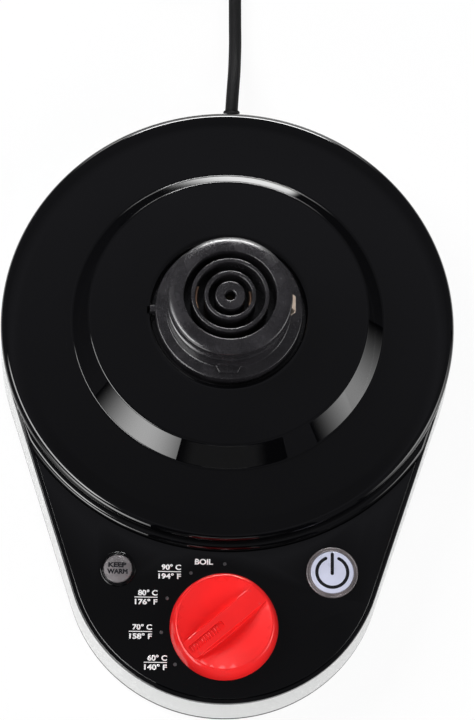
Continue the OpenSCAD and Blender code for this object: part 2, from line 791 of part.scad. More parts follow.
module centre_contact() {
    color("#c9a25e") translate(socket_at + [0, 0, tab_z])
        cylinder(d = centre_contact_d, h = slot_floor + centre_contact_rise - tab_z);
}

module earth_spring() {
    top = earth_z0 + earth_h;
    mid = (earth_z0 + top) / 2;
    outer = [[0, tab_z], [0, earth_z0], [earth_bulge, mid - earth_flat], [earth_bulge, mid + earth_flat],
             [earth_tip, top]];
    inner = [for (i = [len(outer) - 1:-1:0]) outer[i] + [contact_t, 0]];
    color("#c98a5a") translate(socket_at + [earth_r, earth_w / 2, 0]) rotate([90, 0, 0])
        linear_extrude(earth_w) polygon(concat(outer, inner));
}

// Control panel and dial

module control_panel() {
    color("#0c0c0e") difference() {
        translate([0, 0, panel_bottom]) linear_extrude(panel_t) panel_shape();
        control_openings(panel_bottom - eps, panel_top + eps);
    }
}

module temperature_knob() {
    top_r = knob_r - knob_draft;
    profile = concat([[0, 0], [knob_r, 0]],
        arc([top_r - knob_round, knob_h - knob_round], knob_round, 0, 90, corner_step), [[0, knob_h]]);
    color("#e8242b") translate([knob_at[0], knob_at[1], knob_z]) rotate([0, 0, pointer_angle]) difference() {
        union() {
            rotate_extrude($fn = fine_fn) polygon(profile);
            translate([0, 0, -knob_boss_h]) cylinder(d = knob_boss_d, h = knob_boss_h + eps);
        }
        for (s = [0, 180]) rotate([0, 0, s]) intersection() {
            translate([0, 0, knob_h + scoop_sphere - scoop_depth]) sphere(r = scoop_sphere, $fn = fine_fn);
            translate([-knob_r, bar_w / 2, 0]) cube([knob_d, knob_r, knob_h + 1]);
        }
        translate([slot_end - slot_l, -slot_w / 2, knob_h - slot_h]) cube([slot_l, slot_w, slot_h + 1]);
        for (i = [1:rib_count])
            translate([slot_end - i * rib_pitch, -slot_w / 2, knob_h - slot_h - rib_h])
                cube([rib_w, slot_w, slot_h]);
        translate([0, 0, -eps]) difference() {
            cylinder(r = knob_r - knob_wall, h = knob_hollow);
            cylinder(d = knob_boss_d, h = knob_hollow);
        }
        translate([0, 0, -knob_boss_h - eps]) cylinder(d = shaft_d + 2 * thread_gap, h = shaft_grip + eps);
    }
}

module selector_shaft() {
    color("#b5b6b8") posts([knob_at], shaft_d, shaft_z, shaft_top);
}

module selector_switch() {
    color("#2f3136") difference() {
        block(knob_at, [selector_w, selector_l, selector_h], board_top);
        posts([knob_at], shaft_d + 2 * run_gap, shaft_z - shaft_end_gap, board_top + selector_h + eps);
    }
}

module indicator_lenses() {
    color("#8d9096") {
        posts(marks, lens_d, board_top + led_size[2] + lens_above_led, panel_top);
        posts(marks, lens_collar_d, deck_z - lens_collar_h, deck_z);
    }
}

module indicator_leds() {
    color("#e9e4d0") for (p = marks) block(p, led_size, board_top);
}

// Buttons

module bezel(at, face_d, ring_d) {
    r = face_d / 2 + run_gap;
    edge = 0.3;
    translate([at[0], at[1], 0]) rotate_extrude() polygon([
        [r, sleeve_bottom], [r + sleeve_t, sleeve_bottom], [r + sleeve_t, panel_top], [ring_d / 2, panel_top],
        [ring_d / 2, panel_top + bezel_h - edge], [ring_d / 2 - edge, panel_top + bezel_h],
        [r, panel_top + bezel_h]]);
}

module button_cap(at, face_d) {
    r = face_d / 2;
    top = panel_top + bezel_h + button_proud;
    translate([at[0], at[1], 0]) rotate_extrude() polygon([
        [0, plunger_top], [stem_d / 2, plunger_top], [stem_d / 2, lip_bottom], [r + button_lip, lip_bottom],
        [r + button_lip, lip_top], [r, lip_top], [r, top - button_crown], [r - button_crown, top], [0, top]]);
}

module switch_body(at) {
    difference() {
        block(at, [switch_w, switch_w, switch_h], board_top);
        posts([at], plunger_d + 2 * run_gap,
            plunger_top - plunger_l - button_travel - plunger_play, plunger_top);
    }
}

module power_bezel() {
    color("#d8d6d6") bezel(power_at, power_face_d, power_d);
}

module power_button() {
    color("#c9cbdc") button_cap(power_at, power_face_d);
}

module power_switch() {
    color("#26282c") switch_body(power_at);
}

module power_plunger() {
    color("#d9d9d4") posts([power_at], plunger_d, plunger_top - plunger_l, plunger_top);
}

module warm_bezel() {
    color("#a8a2a4") bezel(warm_at, warm_face_d, warm_d);
}

module warm_button() {
    color("#9a9496") button_cap(warm_at, warm_face_d);
}

module warm_switch() {
    color("#26282c") switch_body(warm_at);
}

module warm_plunger() {
    color("#d9d9d4") posts([warm_at], plunger_d, plunger_top - plunger_l, plunger_top);
}

// Circuit boards

module control_board() {
    color("#1d5a35") difference() {
        translate([0, 0, board_bottom]) linear_extrude(board_t) intersection() {
            translate([0, front_y]) circle(r = control_board_r, $fn = fine_fn);
            translate([-front_r, board_edge_y - front_r]) square([front_d, front_r]);
        }
        posts([front_boss], boss_d, board_bottom - eps, board_top + eps);
        posts(control_posts, screw_d + 2 * fit_gap, board_bottom - eps, board_top + eps);
    }
}

module control_screws() {
    color("#9a9a9c") for (p = control_posts)
        screw_up(p, screw_d, board_t + small_screw_l, small_head_d, small_head_h, board_bottom);
}

module power_board() {
    color("#1d5a35") difference() {
        block(power_board_at, [power_board_w, power_board_l, board_t], power_board_z);
        posts(power_posts, screw_d + 2 * fit_gap, power_board_z - eps, power_board_top + eps);
    }
}

module power_screws() {
    color("#9a9a9c") for (p = power_posts)
        screw_down(p, screw_d, board_t + short_screw_l, small_head_d, small_head_h, power_board_top);
}

module relay() {
    color("#2360a8") block(relay_at, relay_size, power_board_top);
}

module transformer() {
    color("#c8b26a") block(transformer_at, transformer_size, power_board_top);
}

module capacitor() {
    color("#27364f") posts([capacitor_at], capacitor_d, power_board_top, power_board_top + capacitor_h);
}

module terminal_block() {
    color("#2f8f4e") block(block_at, block_size, power_board_top);
}

module board_connectors() {
    color("#e6e2d2") {
        block(connector_at, connector_size, power_board_top);
        block(far_connector_at, connector_size, board_bottom - connector_size[2]);
    }
}

// Wiring

module mains_wires() {
    block_back = block_at[1] + block_size[1] / 2;
    wire_z = power_board_top + pole_height;
    color("#8a5a3a") for (i = [-1:1])
        let (lift = i * (wire_d + wire_gap), pole_x = block_at[0] + i * pole_pitch)
        sweep(wire_path([
            [cord_x, cord_inner_y, cord_z + lift],
            [cord_x, cord_inner_y - 5, cord_z + lift],
            [cord_x - 10 + i, cord_inner_y - 12 - i, cord_z + lift],
            [block_at[0] + 14 + i, block_back + 17 - i, wire_z + lift],
            [pole_x + 2, block_back + 8, wire_z + lift],
            [pole_x, block_back + 4, wire_z + lift],
            [pole_x, block_back, wire_z + lift]], wire_steps),
            ring_section(wire_d / 2, wire_sides));
}

module socket_wires() {
    tabs = [-neutral_r - contact_t / 2, 0, live_r + contact_t / 2, earth_r + contact_t / 2];
    board_edge_x = power_board_at[0] + power_board_w / 2 - socket_wire_inset;
    color("#b04a3a") for (i = [0:3]) let (y = axis_y + (i - 1.5) * socket_wire_pitch)
        sweep(wire_path([
            [board_edge_x, y + 4, power_board_top], [board_edge_x, y + 4, power_board_top + 3],
            [board_edge_x + 9, y + 3, power_board_top + 6],
            [tabs[i] - 7, (y + axis_y) / 2, tab_z - 7],
            [tabs[i], axis_y, tab_z - 4], [tabs[i], axis_y, tab_z]], wire_steps),
            ring_section(wire_d / 2, wire_sides), [0, 1, 0]);
}

module ribbon_cable() {
    half = connector_size / 2;
    near = [connector_at[0], connector_at[1] - half[1], power_board_top + half[2]];
    far = [far_connector_at[0], far_connector_at[1] + half[1], board_bottom - half[2]];
    color("#a9adb3") sweep(wire_path([
        near, near - [0, ribbon_straight, 0], near * 0.6 + far * 0.4 - [0, 0, ribbon_sag],
        far + [0, ribbon_straight, 0], far], wire_steps), strip_section(ribbon_w, ribbon_t));
}

// Cord

module cord_gland() {
    slant = skirt_flare / skirt_h;
    wall_y = rear_end - slant * (cord_z - gland_flange_r - floor_z) + gland_gap;
    inner_y = wall_y - skirt_t - 2 * slant * gland_flange_r - gland_play;
    color("#161617") translate([cord_x, 0, cord_z]) rotate([-90, 0, 0]) rotate_extrude() polygon([
        [gland_bore_r, wall_y - gland_in], [gland_r, wall_y - gland_in], [gland_r, inner_y - gland_flange_t],
        [gland_flange_r, inner_y - gland_flange_t], [gland_flange_r, inner_y], [gland_r, inner_y],
        [gland_r, wall_y], [gland_flange_r, wall_y], [gland_flange_r, wall_y + gland_flange_t],
        [gland_r, wall_y + gland_flange_t], [gland_tip_r, wall_y + gland_out],
        [gland_bore_r, wall_y + gland_out]]);
}

module cord_clamp() {
    color("#2a2a2d") difference() {
        block([cord_x, clamp_y], clamp_bar, clamp_z);
        posts(clamp_posts, screw_d + 2 * fit_gap, clamp_z - eps, clamp_z + clamp_bar[2] + eps);
    }
}

module clamp_screws() {
    color("#9a9a9c") for (p = clamp_posts)
        screw_down(p, screw_d, clamp_bar[2] + small_screw_l, small_head_d, small_head_h,
            clamp_z + clamp_bar[2]);
}

module cord_lead() {
    color("#18181a") sweep(lead_route, ring_section(cord_r, lead_sides));
}

// The coil winds in on the table, climbs one layer as it turns back, and winds out on top
function coil_radius(a) = coil_r - coil_pitch * (a < coil_reversal ? a : 2 * coil_reversal - a) / 360;
function climb(s) = s < 0 ? 0 : s > 1 ? 1 : s * s * (3 - 2 * s);
function coil_point(a) = [
    coil_at[0] + coil_radius(a) * cos(a),
    coil_at[1] + coil_radius(a) * sin(a),
    coil_z + coil_pitch * climb((a - coil_reversal) / climb_angle + 0.5)];
coil_rings = ceil(coil_turns * turn_rings);
coil_turn_points = [for (i = [0:coil_rings]) coil_point(i * 360 * coil_turns / coil_rings)];
coil_path = concat([[lead_end[0], lead_end[1], coil_z]], coil_turn_points, [coil_end]);
coil_gap = min([for (i = [0:coil_rings], j = [i + turn_rings / 2:1:coil_rings])
    norm(coil_turn_points[i] - coil_turn_points[j])]) - cord_d;
echo(coil_least_gap = coil_gap);

module cord_coil() {
    color("#18181a") sweep(coil_path, ring_section(cord_r, coil_sides));
}

module cord_tie() {
    inner_r = coil_radius(360 + tie_angle) - cord_r - tie_gap;
    outer_r = coil_radius(tie_angle) + cord_r + tie_gap;
    low = lay_gap + tie_t;
    high = coil_z + coil_pitch + cord_r + tie_gap;
    color("#202022") translate([coil_at[0] - outer_r, coil_at[1] + tie_w / 2, 0]) rotate([90, 0, 0])
        linear_extrude(tie_w) difference() {
            translate([-tie_t, low - tie_t]) square([outer_r - inner_r + 2 * tie_t, high - low + 2 * tie_t]);
            translate([0, low]) square([outer_r - inner_r, high - low]);
        }
}

module plug_body() {
    color("#161617") difference() {
        union() {
            translate(coil_end) rotate([0, -90, 0])
                cylinder(r1 = cord_r + plug_neck_t, r2 = plug_neck_r, h = plug_neck_l + eps);
            translate([plug_back_x, coil_end[1], coil_end[2]]) rotate([0, -90, 0]) linear_extrude(plug_l)
                rounded_rectangle(plug_h, plug_w, plug_corner);
        }
        plug_pin_holes(fit_gap);
    }
}

module rounded_rectangle(w, h, r) {
    polygon([for (q = [0:3]) let (s = [[1, 1], [-1, 1], [-1, -1], [1, -1]][q])
        each arc([s[0] * (w / 2 - r), s[1] * (h / 2 - r)], r, q * 90, q * 90 + 90, corner_step)]);
}

// Seats of the blades and the earth pin in the plug's face
module plug_pin_holes(gap) {
    for (s = [-1, 1])
        translate([plug_face_x - eps, coil_end[1] + blade_y - blade_size[1] / 2 - gap,
                   coil_end[2] + s * blade_spacing / 2 - blade_size[2] / 2 - gap])
            cube([pin_seat + eps, blade_size[1] + 2 * gap, blade_size[2] + 2 * gap]);
    translate([plug_face_x - eps, coil_end[1] + earth_pin_y, coil_end[2]]) rotate([0, 90, 0])
        cylinder(d = earth_pin_d + 2 * gap, h = pin_seat + eps);
}

module plug_blades() {
    color("#c8b88a") for (s = [-1, 1])
        translate([plug_face_x - blade_size[0], coil_end[1] + blade_y - blade_size[1] / 2,
                   coil_end[2] + s * blade_spacing / 2 - blade_size[2] / 2])
            cube([blade_size[0] + pin_seat, blade_size[1], blade_size[2]]);
}

module plug_earth_pin() {
    color("#c8b88a") translate([plug_face_x - earth_pin_l, coil_end[1] + earth_pin_y, coil_end[2]])
        rotate([0, 90, 0]) cylinder(d = earth_pin_d, h = earth_pin_l + pin_seat);
}

bottom_cover();
rubber_feet();
housing_screws();
skirt_band();
upper_housing();
kettle_platform();
platform_screws();
socket_nose();
contact_carrier();
centre_guide();
socket_back();
socket_screws();
live_contact();
neutral_contact();
centre_contact();
earth_spring();
control_panel();
temperature_knob();
selector_shaft();
selector_switch();
indicator_lenses();
indicator_leds();
power_bezel();
power_button();
power_switch();
power_plunger();
warm_bezel();
warm_button();
warm_switch();
warm_plunger();
control_board();
control_screws();
power_board();
power_screws();
relay();
transformer();
capacitor();
terminal_block();
board_connectors();
mains_wires();
socket_wires();
ribbon_cable();
cord_gland();
cord_clamp();
clamp_screws();
cord_lead();
cord_coil();
cord_tie();
plug_body();
plug_blades();
plug_earth_pin();
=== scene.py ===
"""Looks of an electric kettle power base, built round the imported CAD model."""
import math

import bmesh
import bpy
from bpy.props import FloatProperty, FloatVectorProperty, PointerProperty
from mathutils import Matrix, Vector


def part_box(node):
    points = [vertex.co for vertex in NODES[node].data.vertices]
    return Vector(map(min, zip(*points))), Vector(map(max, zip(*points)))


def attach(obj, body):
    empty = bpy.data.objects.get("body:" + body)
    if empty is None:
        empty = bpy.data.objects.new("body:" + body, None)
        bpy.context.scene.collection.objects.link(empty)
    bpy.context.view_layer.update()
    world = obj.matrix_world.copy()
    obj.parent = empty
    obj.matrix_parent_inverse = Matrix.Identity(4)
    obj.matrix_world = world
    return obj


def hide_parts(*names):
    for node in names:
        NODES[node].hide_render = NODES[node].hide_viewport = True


bl_info = {
    "name": "Kettle power base",
    "version": (1, 0, 0),
    "blender": (4, 5, 0),
    "location": "View3D > Sidebar > Kettle base",
    "description": "Models the pieces, finishes and studio of a kettle power base on its CAD frame",
    "category": "Object",
}

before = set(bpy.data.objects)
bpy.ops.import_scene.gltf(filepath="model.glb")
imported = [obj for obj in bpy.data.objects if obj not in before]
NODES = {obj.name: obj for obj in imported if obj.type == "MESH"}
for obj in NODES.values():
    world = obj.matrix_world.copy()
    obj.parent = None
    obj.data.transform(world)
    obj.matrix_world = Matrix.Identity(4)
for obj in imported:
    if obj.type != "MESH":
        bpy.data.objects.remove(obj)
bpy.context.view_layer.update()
MM = 0.001


# Settings

def length(label, text, millimetres):
    """A length that the sidebar shows, given here in millimetres."""
    return FloatProperty(name=label, description=text, default=millimetres * MM, precision=5, unit="LENGTH")


def tint(label, text, rgb):
    """A linear colour that the sidebar shows."""
    return FloatVectorProperty(name=label, description=text, default=rgb, size=3, min=0, max=1, subtype="COLOR")


def angle(label, text, degrees):
    """An angle that the sidebar shows, given here in degrees."""
    return FloatProperty(name=label, description=text, default=math.radians(degrees), unit="ROTATION")


class PlatformSizes(bpy.types.PropertyGroup):
    """Sizes of the round platform."""
    radius: length("Radius", "Radius of the platform", 85)
    wall: length("Wall", "Wall thickness of the platform", 2.2)
    axis_y: length("Axis", "Place of the platform's axis along Y", 29.5)
    foot_z: length("Foot height", "Height at which the platform stands on the deck", 25.5)
    ring_z: length("Ring height", "Height of the outer ring's flat top", 32)
    seat_z: length("Seat height", "Height of the kettle seat", 41.4)
    slope_foot: length("Slope foot", "Radius of the slope's foot", 58.1)
    slope_top: length("Slope top", "Radius of the slope's upper edge", 52.1)
    slope_round: length("Slope rounding", "Rounding of the slope's upper edge", 0.4)
    slope_fillet: length("Slope fillet", "Width of the hollow along the slope's foot", 0.35)
    hole: length("Socket hole", "Radius of the opening for the socket", 28.8)
    hole_round: length("Hole rounding", "Rounding of the opening's edge", 0.8)
    crown_start: length("Crown start", "Radius where the rim begins to fall softly", 77)
    crown_end: length("Crown end", "Radius where the rounding of the rim begins", 82.6)
    crown_fall: angle("Crown fall", "Slope of the rim where its rounding begins", 8)
    notch_reach: length("Notch reach", "Radius that the notch for the socket's key reaches", 30.3)
    notch_width: length("Notch width", "Width of that notch", 3)


class CasingSizes(bpy.types.PropertyGroup):
    """Sizes of the casing."""
    front_r: length("Front radius", "Radius of the casing's narrow end", 58)
    front_y: length("Front axis", "Place of the narrow end's axis along Y", -56.5)
    rear_wall: length("Rear wall", "Place of the casing's rear end along Y", 115.5)
    rear_feet: length("Rear feet", "Radius of the circle on which the rear feet stand", 73)
    front_feet: length("Front feet", "Radius of the circle on which the front feet stand", 42.5)


class SocketSizes(bpy.types.PropertyGroup):
    """Sizes of the cordless socket."""
    flange: length("Flange", "Radius of the flange under the seat", 36)
    flange_z: length("Flange height", "Height of the flange's underside", 34)
    flange_t: length("Flange thickness", "Thickness of the flange", 3)
    collar: length("Collar", "Radius of the collar in the seat", 27.3)
    collar_z: length("Collar height", "Height of the collar's top", 44)
    nose: length("Nose", "Radius of the nose", 22.9)
    nose_z: length("Nose height", "Height of the nose's top", 60)
    lip_z: length("Lip height", "Height of the lip's lower edge", 54.4)
    lip_h: length("Lip", "Height of the lip", 3.9)
    groove: length("Groove depth", "Depth of the groove under the lip", 0.7)
    groove_w: length("Groove width", "Width of that groove", 2.4)
    bore: length("Bore", "Outer radius of the widest slot", 17)
    outer_ring: length("Outer ring", "Outer radius of the outer insulating ring", 14.35)
    inner_ring: length("Inner ring", "Outer radius of the inner insulating ring", 9.5)
    ring_t: length("Ring thickness", "Thickness of the insulating rings", 1.5)
    ring_z: length("Ring height", "Height of the rings' tops", 59.6)
    floor_z: length("Slot floor", "Height of the slots' floor", 45)
    guide: length("Guide", "Radius of the post round the centre hole", 5.5)
    guide_z: length("Guide height", "Height of the post's top", 59.4)
    pin_hole: length("Pin hole", "Radius of the centre hole", 1.95)
    key_reach: length("Key reach", "Radius that the key reaches", 29.2)
    key_w: length("Key width", "Width of the key", 2.4)
    latch_w: length("Latch width", "Width of the latch at the nose", 9.6)
    latch_tip: length("Latch tip", "Width of the latch at its tip", 6.6)
    latch_l: length("Latch length", "Length of the latch past the nose", 2.3)
    latch_h: length("Latch height", "Height of the latch", 1.4)


class DialSizes(bpy.types.PropertyGroup):
    """Sizes of the temperature dial."""
    axis_y: length("Axis", "Place of the dial's axis along Y", -86.5)
    foot_z: length("Foot height", "Height of the dial's foot", 26.1)
    height: length("Height", "Height of the dial", 7.8)
    radius: length("Radius", "Radius at the dial's foot", 19.75)
    draft: length("Draft", "How much smaller the radius is at the top", 1.6)
    rounding: length("Rounding", "Rounding of the outer top edge", 1.1)
    scoop: length("Scoop", "Radius of the finger scoops' edge", 17.15)
    scoop_depth: length("Scoop depth", "Depth of the finger scoops", 4.6)
    bar: length("Bar", "Width of the grip bar", 7.5)
    slot_inner: length("Slot inner end", "Distance of the slot's inner end from the axis", 0.65)
    slot_outer: length("Slot outer end", "Distance of the slot's outer end from the axis", 16.25)
    slot_w: length("Slot width", "Width of the slot", 2.9)
    slot_h: length("Slot depth", "Depth of the slot", 0.9)
    rib_pitch: length("Rib pitch", "Distance between the ribs in the slot", 1.2)
    pointer: angle("Pointer", "Direction of the pointer, anticlockwise from +X", 221)
    mark_y: length("Marks", "Place of the lights' circle along Y", -85.8)
    mark_r: length("Mark circle", "Radius of the lights' circle", 22.9)
    mark_step: angle("Mark step", "Angle between lights", 32.5)


class ButtonSizes(bpy.types.PropertyGroup):
    """Sizes of the two buttons."""
    power_x: length("Power X", "Place of the power button along X", 39.3)
    warm_x: length("Warm X", "Place of the keep warm button along X", -39)
    row_y: length("Row", "Place of both buttons along Y", -65.5)
    power_ring: length("Power ring", "Outer radius of the power button's ring", 9.5)
    power_face: length("Power face", "Radius of the power button's face", 7.9)
    warm_ring: length("Warm ring", "Outer radius of the keep warm button's ring", 6.5)
    warm_face: length("Warm face", "Radius of the keep warm button's face", 5.3)
    sign_r: length("Sign radius", "Middle radius of the power sign", 5.65)
    sign_w: length("Sign width", "Stroke width of the power sign", 1.2)


class CordSizes(bpy.types.PropertyGroup):
    """Sizes of the mains cord."""
    diameter: length("Diameter", "Diameter of the cord", 5)
    length: length("Length", "Length from the casing to the plug", 840)
    coil_r: length("Coil radius", "Radius where the cord enters its coil", 33)
    coil_pitch: length("Coil pitch", "Distance between the coil's turns", 5.6)
    coil_turns: FloatProperty(name="Coil turns", description="Turns of the coil", default=4.25)


class FinishColours(bpy.types.PropertyGroup):
    """Colours of the finishes."""
    gloss_black: tint("Gloss black", "Platform, deck and control panel", (0.0016, 0.0016, 0.002))
    silver: tint("Silver", "Band round the sides", (0.69, 0.695, 0.69))
    matte_black: tint("Matte black", "Bottom cover and inner plates", (0.02, 0.02, 0.022))
    socket_grey: tint("Socket grey", "Mouldings of the socket", (0.017, 0.016, 0.018))
    cord_black: tint("Cord black", "Sheath, plug and strain relief", (0.007, 0.007, 0.0075))
    rubber: tint("Rubber", "Feet", (0.03, 0.03, 0.03))
    dial_red: tint("Dial red", "Temperature dial", (0.93, 0.021, 0.021))
    ring_clear: tint("Clear ring", "Ring of the power button", (0.15, 0.132, 0.135))
    power_face: tint("Power face", "Face of the power button", (0.6, 0.62, 0.76))
    warm_face: tint("Warm face", "Face of the keep warm button", (0.16, 0.148, 0.152))
    print_white: tint("Print white", "Numbers on the panel", (0.82, 0.82, 0.82))
    sign_black: tint("Sign black", "Signs on the buttons", (0.008, 0.008, 0.01))
    copper: tint("Copper", "Ring contacts", (0.85, 0.52, 0.34))
    earth_copper: tint("Earth copper", "Earth spring", (0.95, 0.76, 0.62))
    brass: tint("Brass", "Plug pins", (0.78, 0.64, 0.36))
    steel: tint("Steel", "Screws and shaft", (0.6, 0.6, 0.61))


class StudioSettings(bpy.types.PropertyGroup):
    """Camera and light."""
    lens: FloatProperty(name="Lens", description="Focal length in millimetres on a 36 mm frame", default=137.7)
    floor_share: FloatProperty(name="Floor glow", description="Share of the floor that is plain white",
                               default=0.92, min=0, max=1, subtype="FACTOR")


class KettleBaseSettings(bpy.types.PropertyGroup):
    """All sizes, colours and light of the kettle base."""
    platform: PointerProperty(type=PlatformSizes)
    casing: PointerProperty(type=CasingSizes)
    socket: PointerProperty(type=SocketSizes)
    dial: PointerProperty(type=DialSizes)
    buttons: PointerProperty(type=ButtonSizes)
    cord: PointerProperty(type=CordSizes)
    colours: PointerProperty(type=FinishColours)
    studio: PointerProperty(type=StudioSettings)


def settings():
    return bpy.context.scene.kettle_base


# Shared finishes

def add_node(tree, kind, inputs=None, **fields):
    """Add a shader node; each input takes a value or is linked to a socket."""
    node = tree.nodes.new("ShaderNode" + kind)
    for name, value in fields.items():
        setattr(node, name, value)
    fill_inputs(tree, node, inputs or {})
    return node


def fill_inputs(tree, node, inputs):
    for label, value in inputs.items():
        if isinstance(value, bpy.types.NodeSocket):
            tree.links.new(value, node.inputs[label])
        else:
            node.inputs[label].default_value = value


def math_node(tree, kind, first, second):
    """A math node; each operand is a socket or a number."""
    return add_node(tree, "Math", {0: first, 1: second}, operation=kind).outputs[0]


def ramp(tree, value, start, stop, first, last, kind="LINEAR"):
    """Carry a value from one span to another."""
    spans = {"Value": value, "From Min": start, "From Max": stop, "To Min": first, "To Max": last}
    return add_node(tree, "MapRange", spans, interpolation_type=kind).outputs["Result"]


def noise(tree, place, scale, detail, roughness=0.5):
    inputs = {"Vector": place, "Scale": scale, "Detail": detail, "Roughness": roughness}
    return add_node(tree, "TexNoise", inputs).outputs["Fac"]


def empty_tree(block):
    """Clear the nodes of a material or world and return its tree."""
    block.use_nodes = True
    block.node_tree.nodes.clear()
    return block.node_tree


def new_group(name, inputs, outputs):
    """A shader node group with float inputs and outputs; returns it, its input sockets, output node and place."""
    group = bpy.data.node_groups.new(name, "ShaderNodeTree")
    for label, value in inputs.items():
        socket = group.interface.new_socket(name=label, in_out="INPUT", socket_type="NodeSocketFloat")
        socket.default_value = value
    for label in outputs:
        group.interface.new_socket(name=label, in_out="OUTPUT", socket_type="NodeSocketFloat")
    place = add_node(group, "TexCoord").outputs["Object"]
    return group, group.nodes.new("NodeGroupInput").outputs, group.nodes.new("NodeGroupOutput"), place


def grain_group():
    """Fine moulded grain: a height and a broad cloudy mask."""
    name = "surface_grain"
    if name in bpy.data.node_groups:
        return bpy.data.node_groups[name]
    group, entry, leave, place = new_group(name, {"Grain Scale": 900.0, "Cloud Scale": 25.0}, ["Height", "Cloud"])
    fill_inputs(group, leave, {"Height": noise(group, place, entry["Grain Scale"], 3.0),
                               "Cloud": noise(group, place, entry["Cloud Scale"], 4.0)})
    return group


def marks_group():
    """Rub marks from use: thin crossing scratches and soft scuffs as one mask."""
    name = "handling_marks"
    if name in bpy.data.node_groups:
        return bpy.data.node_groups[name]
    group, entry, leave, place = new_group(name, {"Scale": 60.0, "Amount": 0.5}, ["Mask"])
    total = 0.0
    for turn, stretch in ((0.5, (1.0, 14.0, 1.0)), (-0.9, (12.0, 1.0, 1.0)), (0.2, (1.0, 1.0, 1.0))):
        turned_place = add_node(group, "Mapping", {"Vector": place, "Rotation": (0, 0, turn), "Scale": stretch})
        cloud = noise(group, turned_place.outputs["Vector"], entry["Scale"], 5.0, 0.65)
        total = math_node(group, "MAXIMUM", total, ramp(group, cloud, 0.52, 0.72, 0, 1))
    fill_inputs(group, leave, {"Mask": math_node(group, "MULTIPLY", total, entry["Amount"])})
    return group


def streaks_group():
    """Satin streaks that run level round the sides."""
    name = "satin_streaks"
    if name in bpy.data.node_groups:
        return bpy.data.node_groups[name]
    group, entry, leave, place = new_group(name, {"Scale": 20.0, "Fineness": 180.0}, ["Streak"])
    lift = add_node(group, "CombineXYZ", {"X": 1.0, "Y": 1.0, "Z": entry["Fineness"]}).outputs["Vector"]
    stretched = add_node(group, "Mapping", {"Vector": place, "Scale": lift}).outputs["Vector"]
    fill_inputs(group, leave, {"Streak": noise(group, stretched, entry["Scale"], 4.0)})
    return group


def place_group(tree, group, **values):
    """Use a node group; its inputs are named with underscores."""
    return add_node(tree, "Group", {k.replace("_", " "): v for k, v in values.items()}, node_tree=group).outputs


def shade(rgb, factor):
    return tuple(min(1.0, c * factor) for c in rgb) + (1.0,)


def finish(name, rgb, rough, spread=0.15, rough_spread=0.05, grain=900.0, cloud=25.0, bump=0.02, marks=0.0,
           marks_scale=60.0, marks_lift=1.8, streaks=False, fixed=None):
    """A moulded or metal finish: two close tones, changing gloss, fine relief and, where asked, rub marks."""
    name += "_finish"
    if name in bpy.data.materials:
        return bpy.data.materials[name]
    material = bpy.data.materials.new(name)
    material.use_nodes = True
    tree = material.node_tree
    surface = place_group(tree, grain_group(), Grain_Scale=grain, Cloud_Scale=cloud)
    mask = place_group(tree, streaks_group())["Streak"] if streaks else surface["Cloud"]
    tone = add_node(tree, "ValToRGB", {"Fac": mask})
    for stop, position, factor in zip(tone.color_ramp.elements, (0.35, 0.65), (1 - spread, 1 + spread)):
        stop.position, stop.color = position, shade(rgb, factor)
    colour = tone.outputs["Color"]
    roughness = ramp(tree, mask, 0.3, 0.7, max(0.0, rough - rough_spread), rough + rough_spread)
    if marks:
        rubbed = place_group(tree, marks_group(), Scale=marks_scale, Amount=marks)["Mask"]
        tones = {"Factor": rubbed, "A": colour, "B": shade(rgb, marks_lift)}
        colour = add_node(tree, "Mix", tones, data_type="RGBA").outputs["Result"]
        roughness = math_node(tree, "ADD", roughness, math_node(tree, "MULTIPLY", rubbed, 0.12))
    relief = add_node(tree, "Bump", {"Strength": bump, "Distance": 0.5 * MM, "Height": surface["Height"]})
    looks = {"Base Color": colour, "Roughness": roughness, "Normal": relief.outputs["Normal"], **(fixed or {})}
    fill_inputs(tree, tree.nodes["Principled BSDF"], looks)
    return material


def gloss_black():
    return finish("gloss_black", settings().colours.gloss_black, 0.03, spread=0.1, rough_spread=0.01, grain=60.0,
                  bump=0.001)


def socket_grey():
    return finish("socket_grey", settings().colours.socket_grey, 0.22, spread=0.25, rough_spread=0.05,
                  grain=1300.0, cloud=120.0, bump=0.06, marks=0.3, marks_scale=420.0, marks_lift=3.0,
                  fixed={"Specular IOR Level": 0.65})


def cord_black():
    return finish("cord_black", settings().colours.cord_black, 0.6, grain=1400.0, cloud=60.0, bump=0.05,
                  fixed={"Specular IOR Level": 0.1})


def clear_ring():
    return finish("clear_ring", settings().colours.ring_clear, 0.2, spread=0.25, cloud=160.0, bump=0.02,
                  fixed={"Coat Weight": 0.4})


def brass():
    return finish("plug_brass", settings().colours.brass, 0.28, grain=700.0, cloud=120.0, marks=0.3,
                  fixed={"Metallic": 1.0})


# Modelling

def in_mm(points):
    return [(a * MM, b * MM) for a, b in points]


def face_outwards(bm):
    bmesh.ops.recalc_face_normals(bm, faces=bm.faces)


def turned(bm, points, centre, steps):
    """Spin a closed profile of (radius, height) points once round a vertical axis."""
    start = [bm.verts.new((centre[0] + r, centre[1], z)) for r, z in points]
    edges = [bm.edges.new((a, b)) for a, b in zip(start, start[1:] + start[:1])]
    bmesh.ops.spin(bm, geom=start + edges, cent=(*centre, 0), axis=(0, 0, 1), dvec=(0, 0, 0), angle=math.tau,
                   steps=steps, use_merge=True, use_duplicate=False)
    bmesh.ops.remove_doubles(bm, verts=bm.verts, dist=1e-7)
    face_outwards(bm)


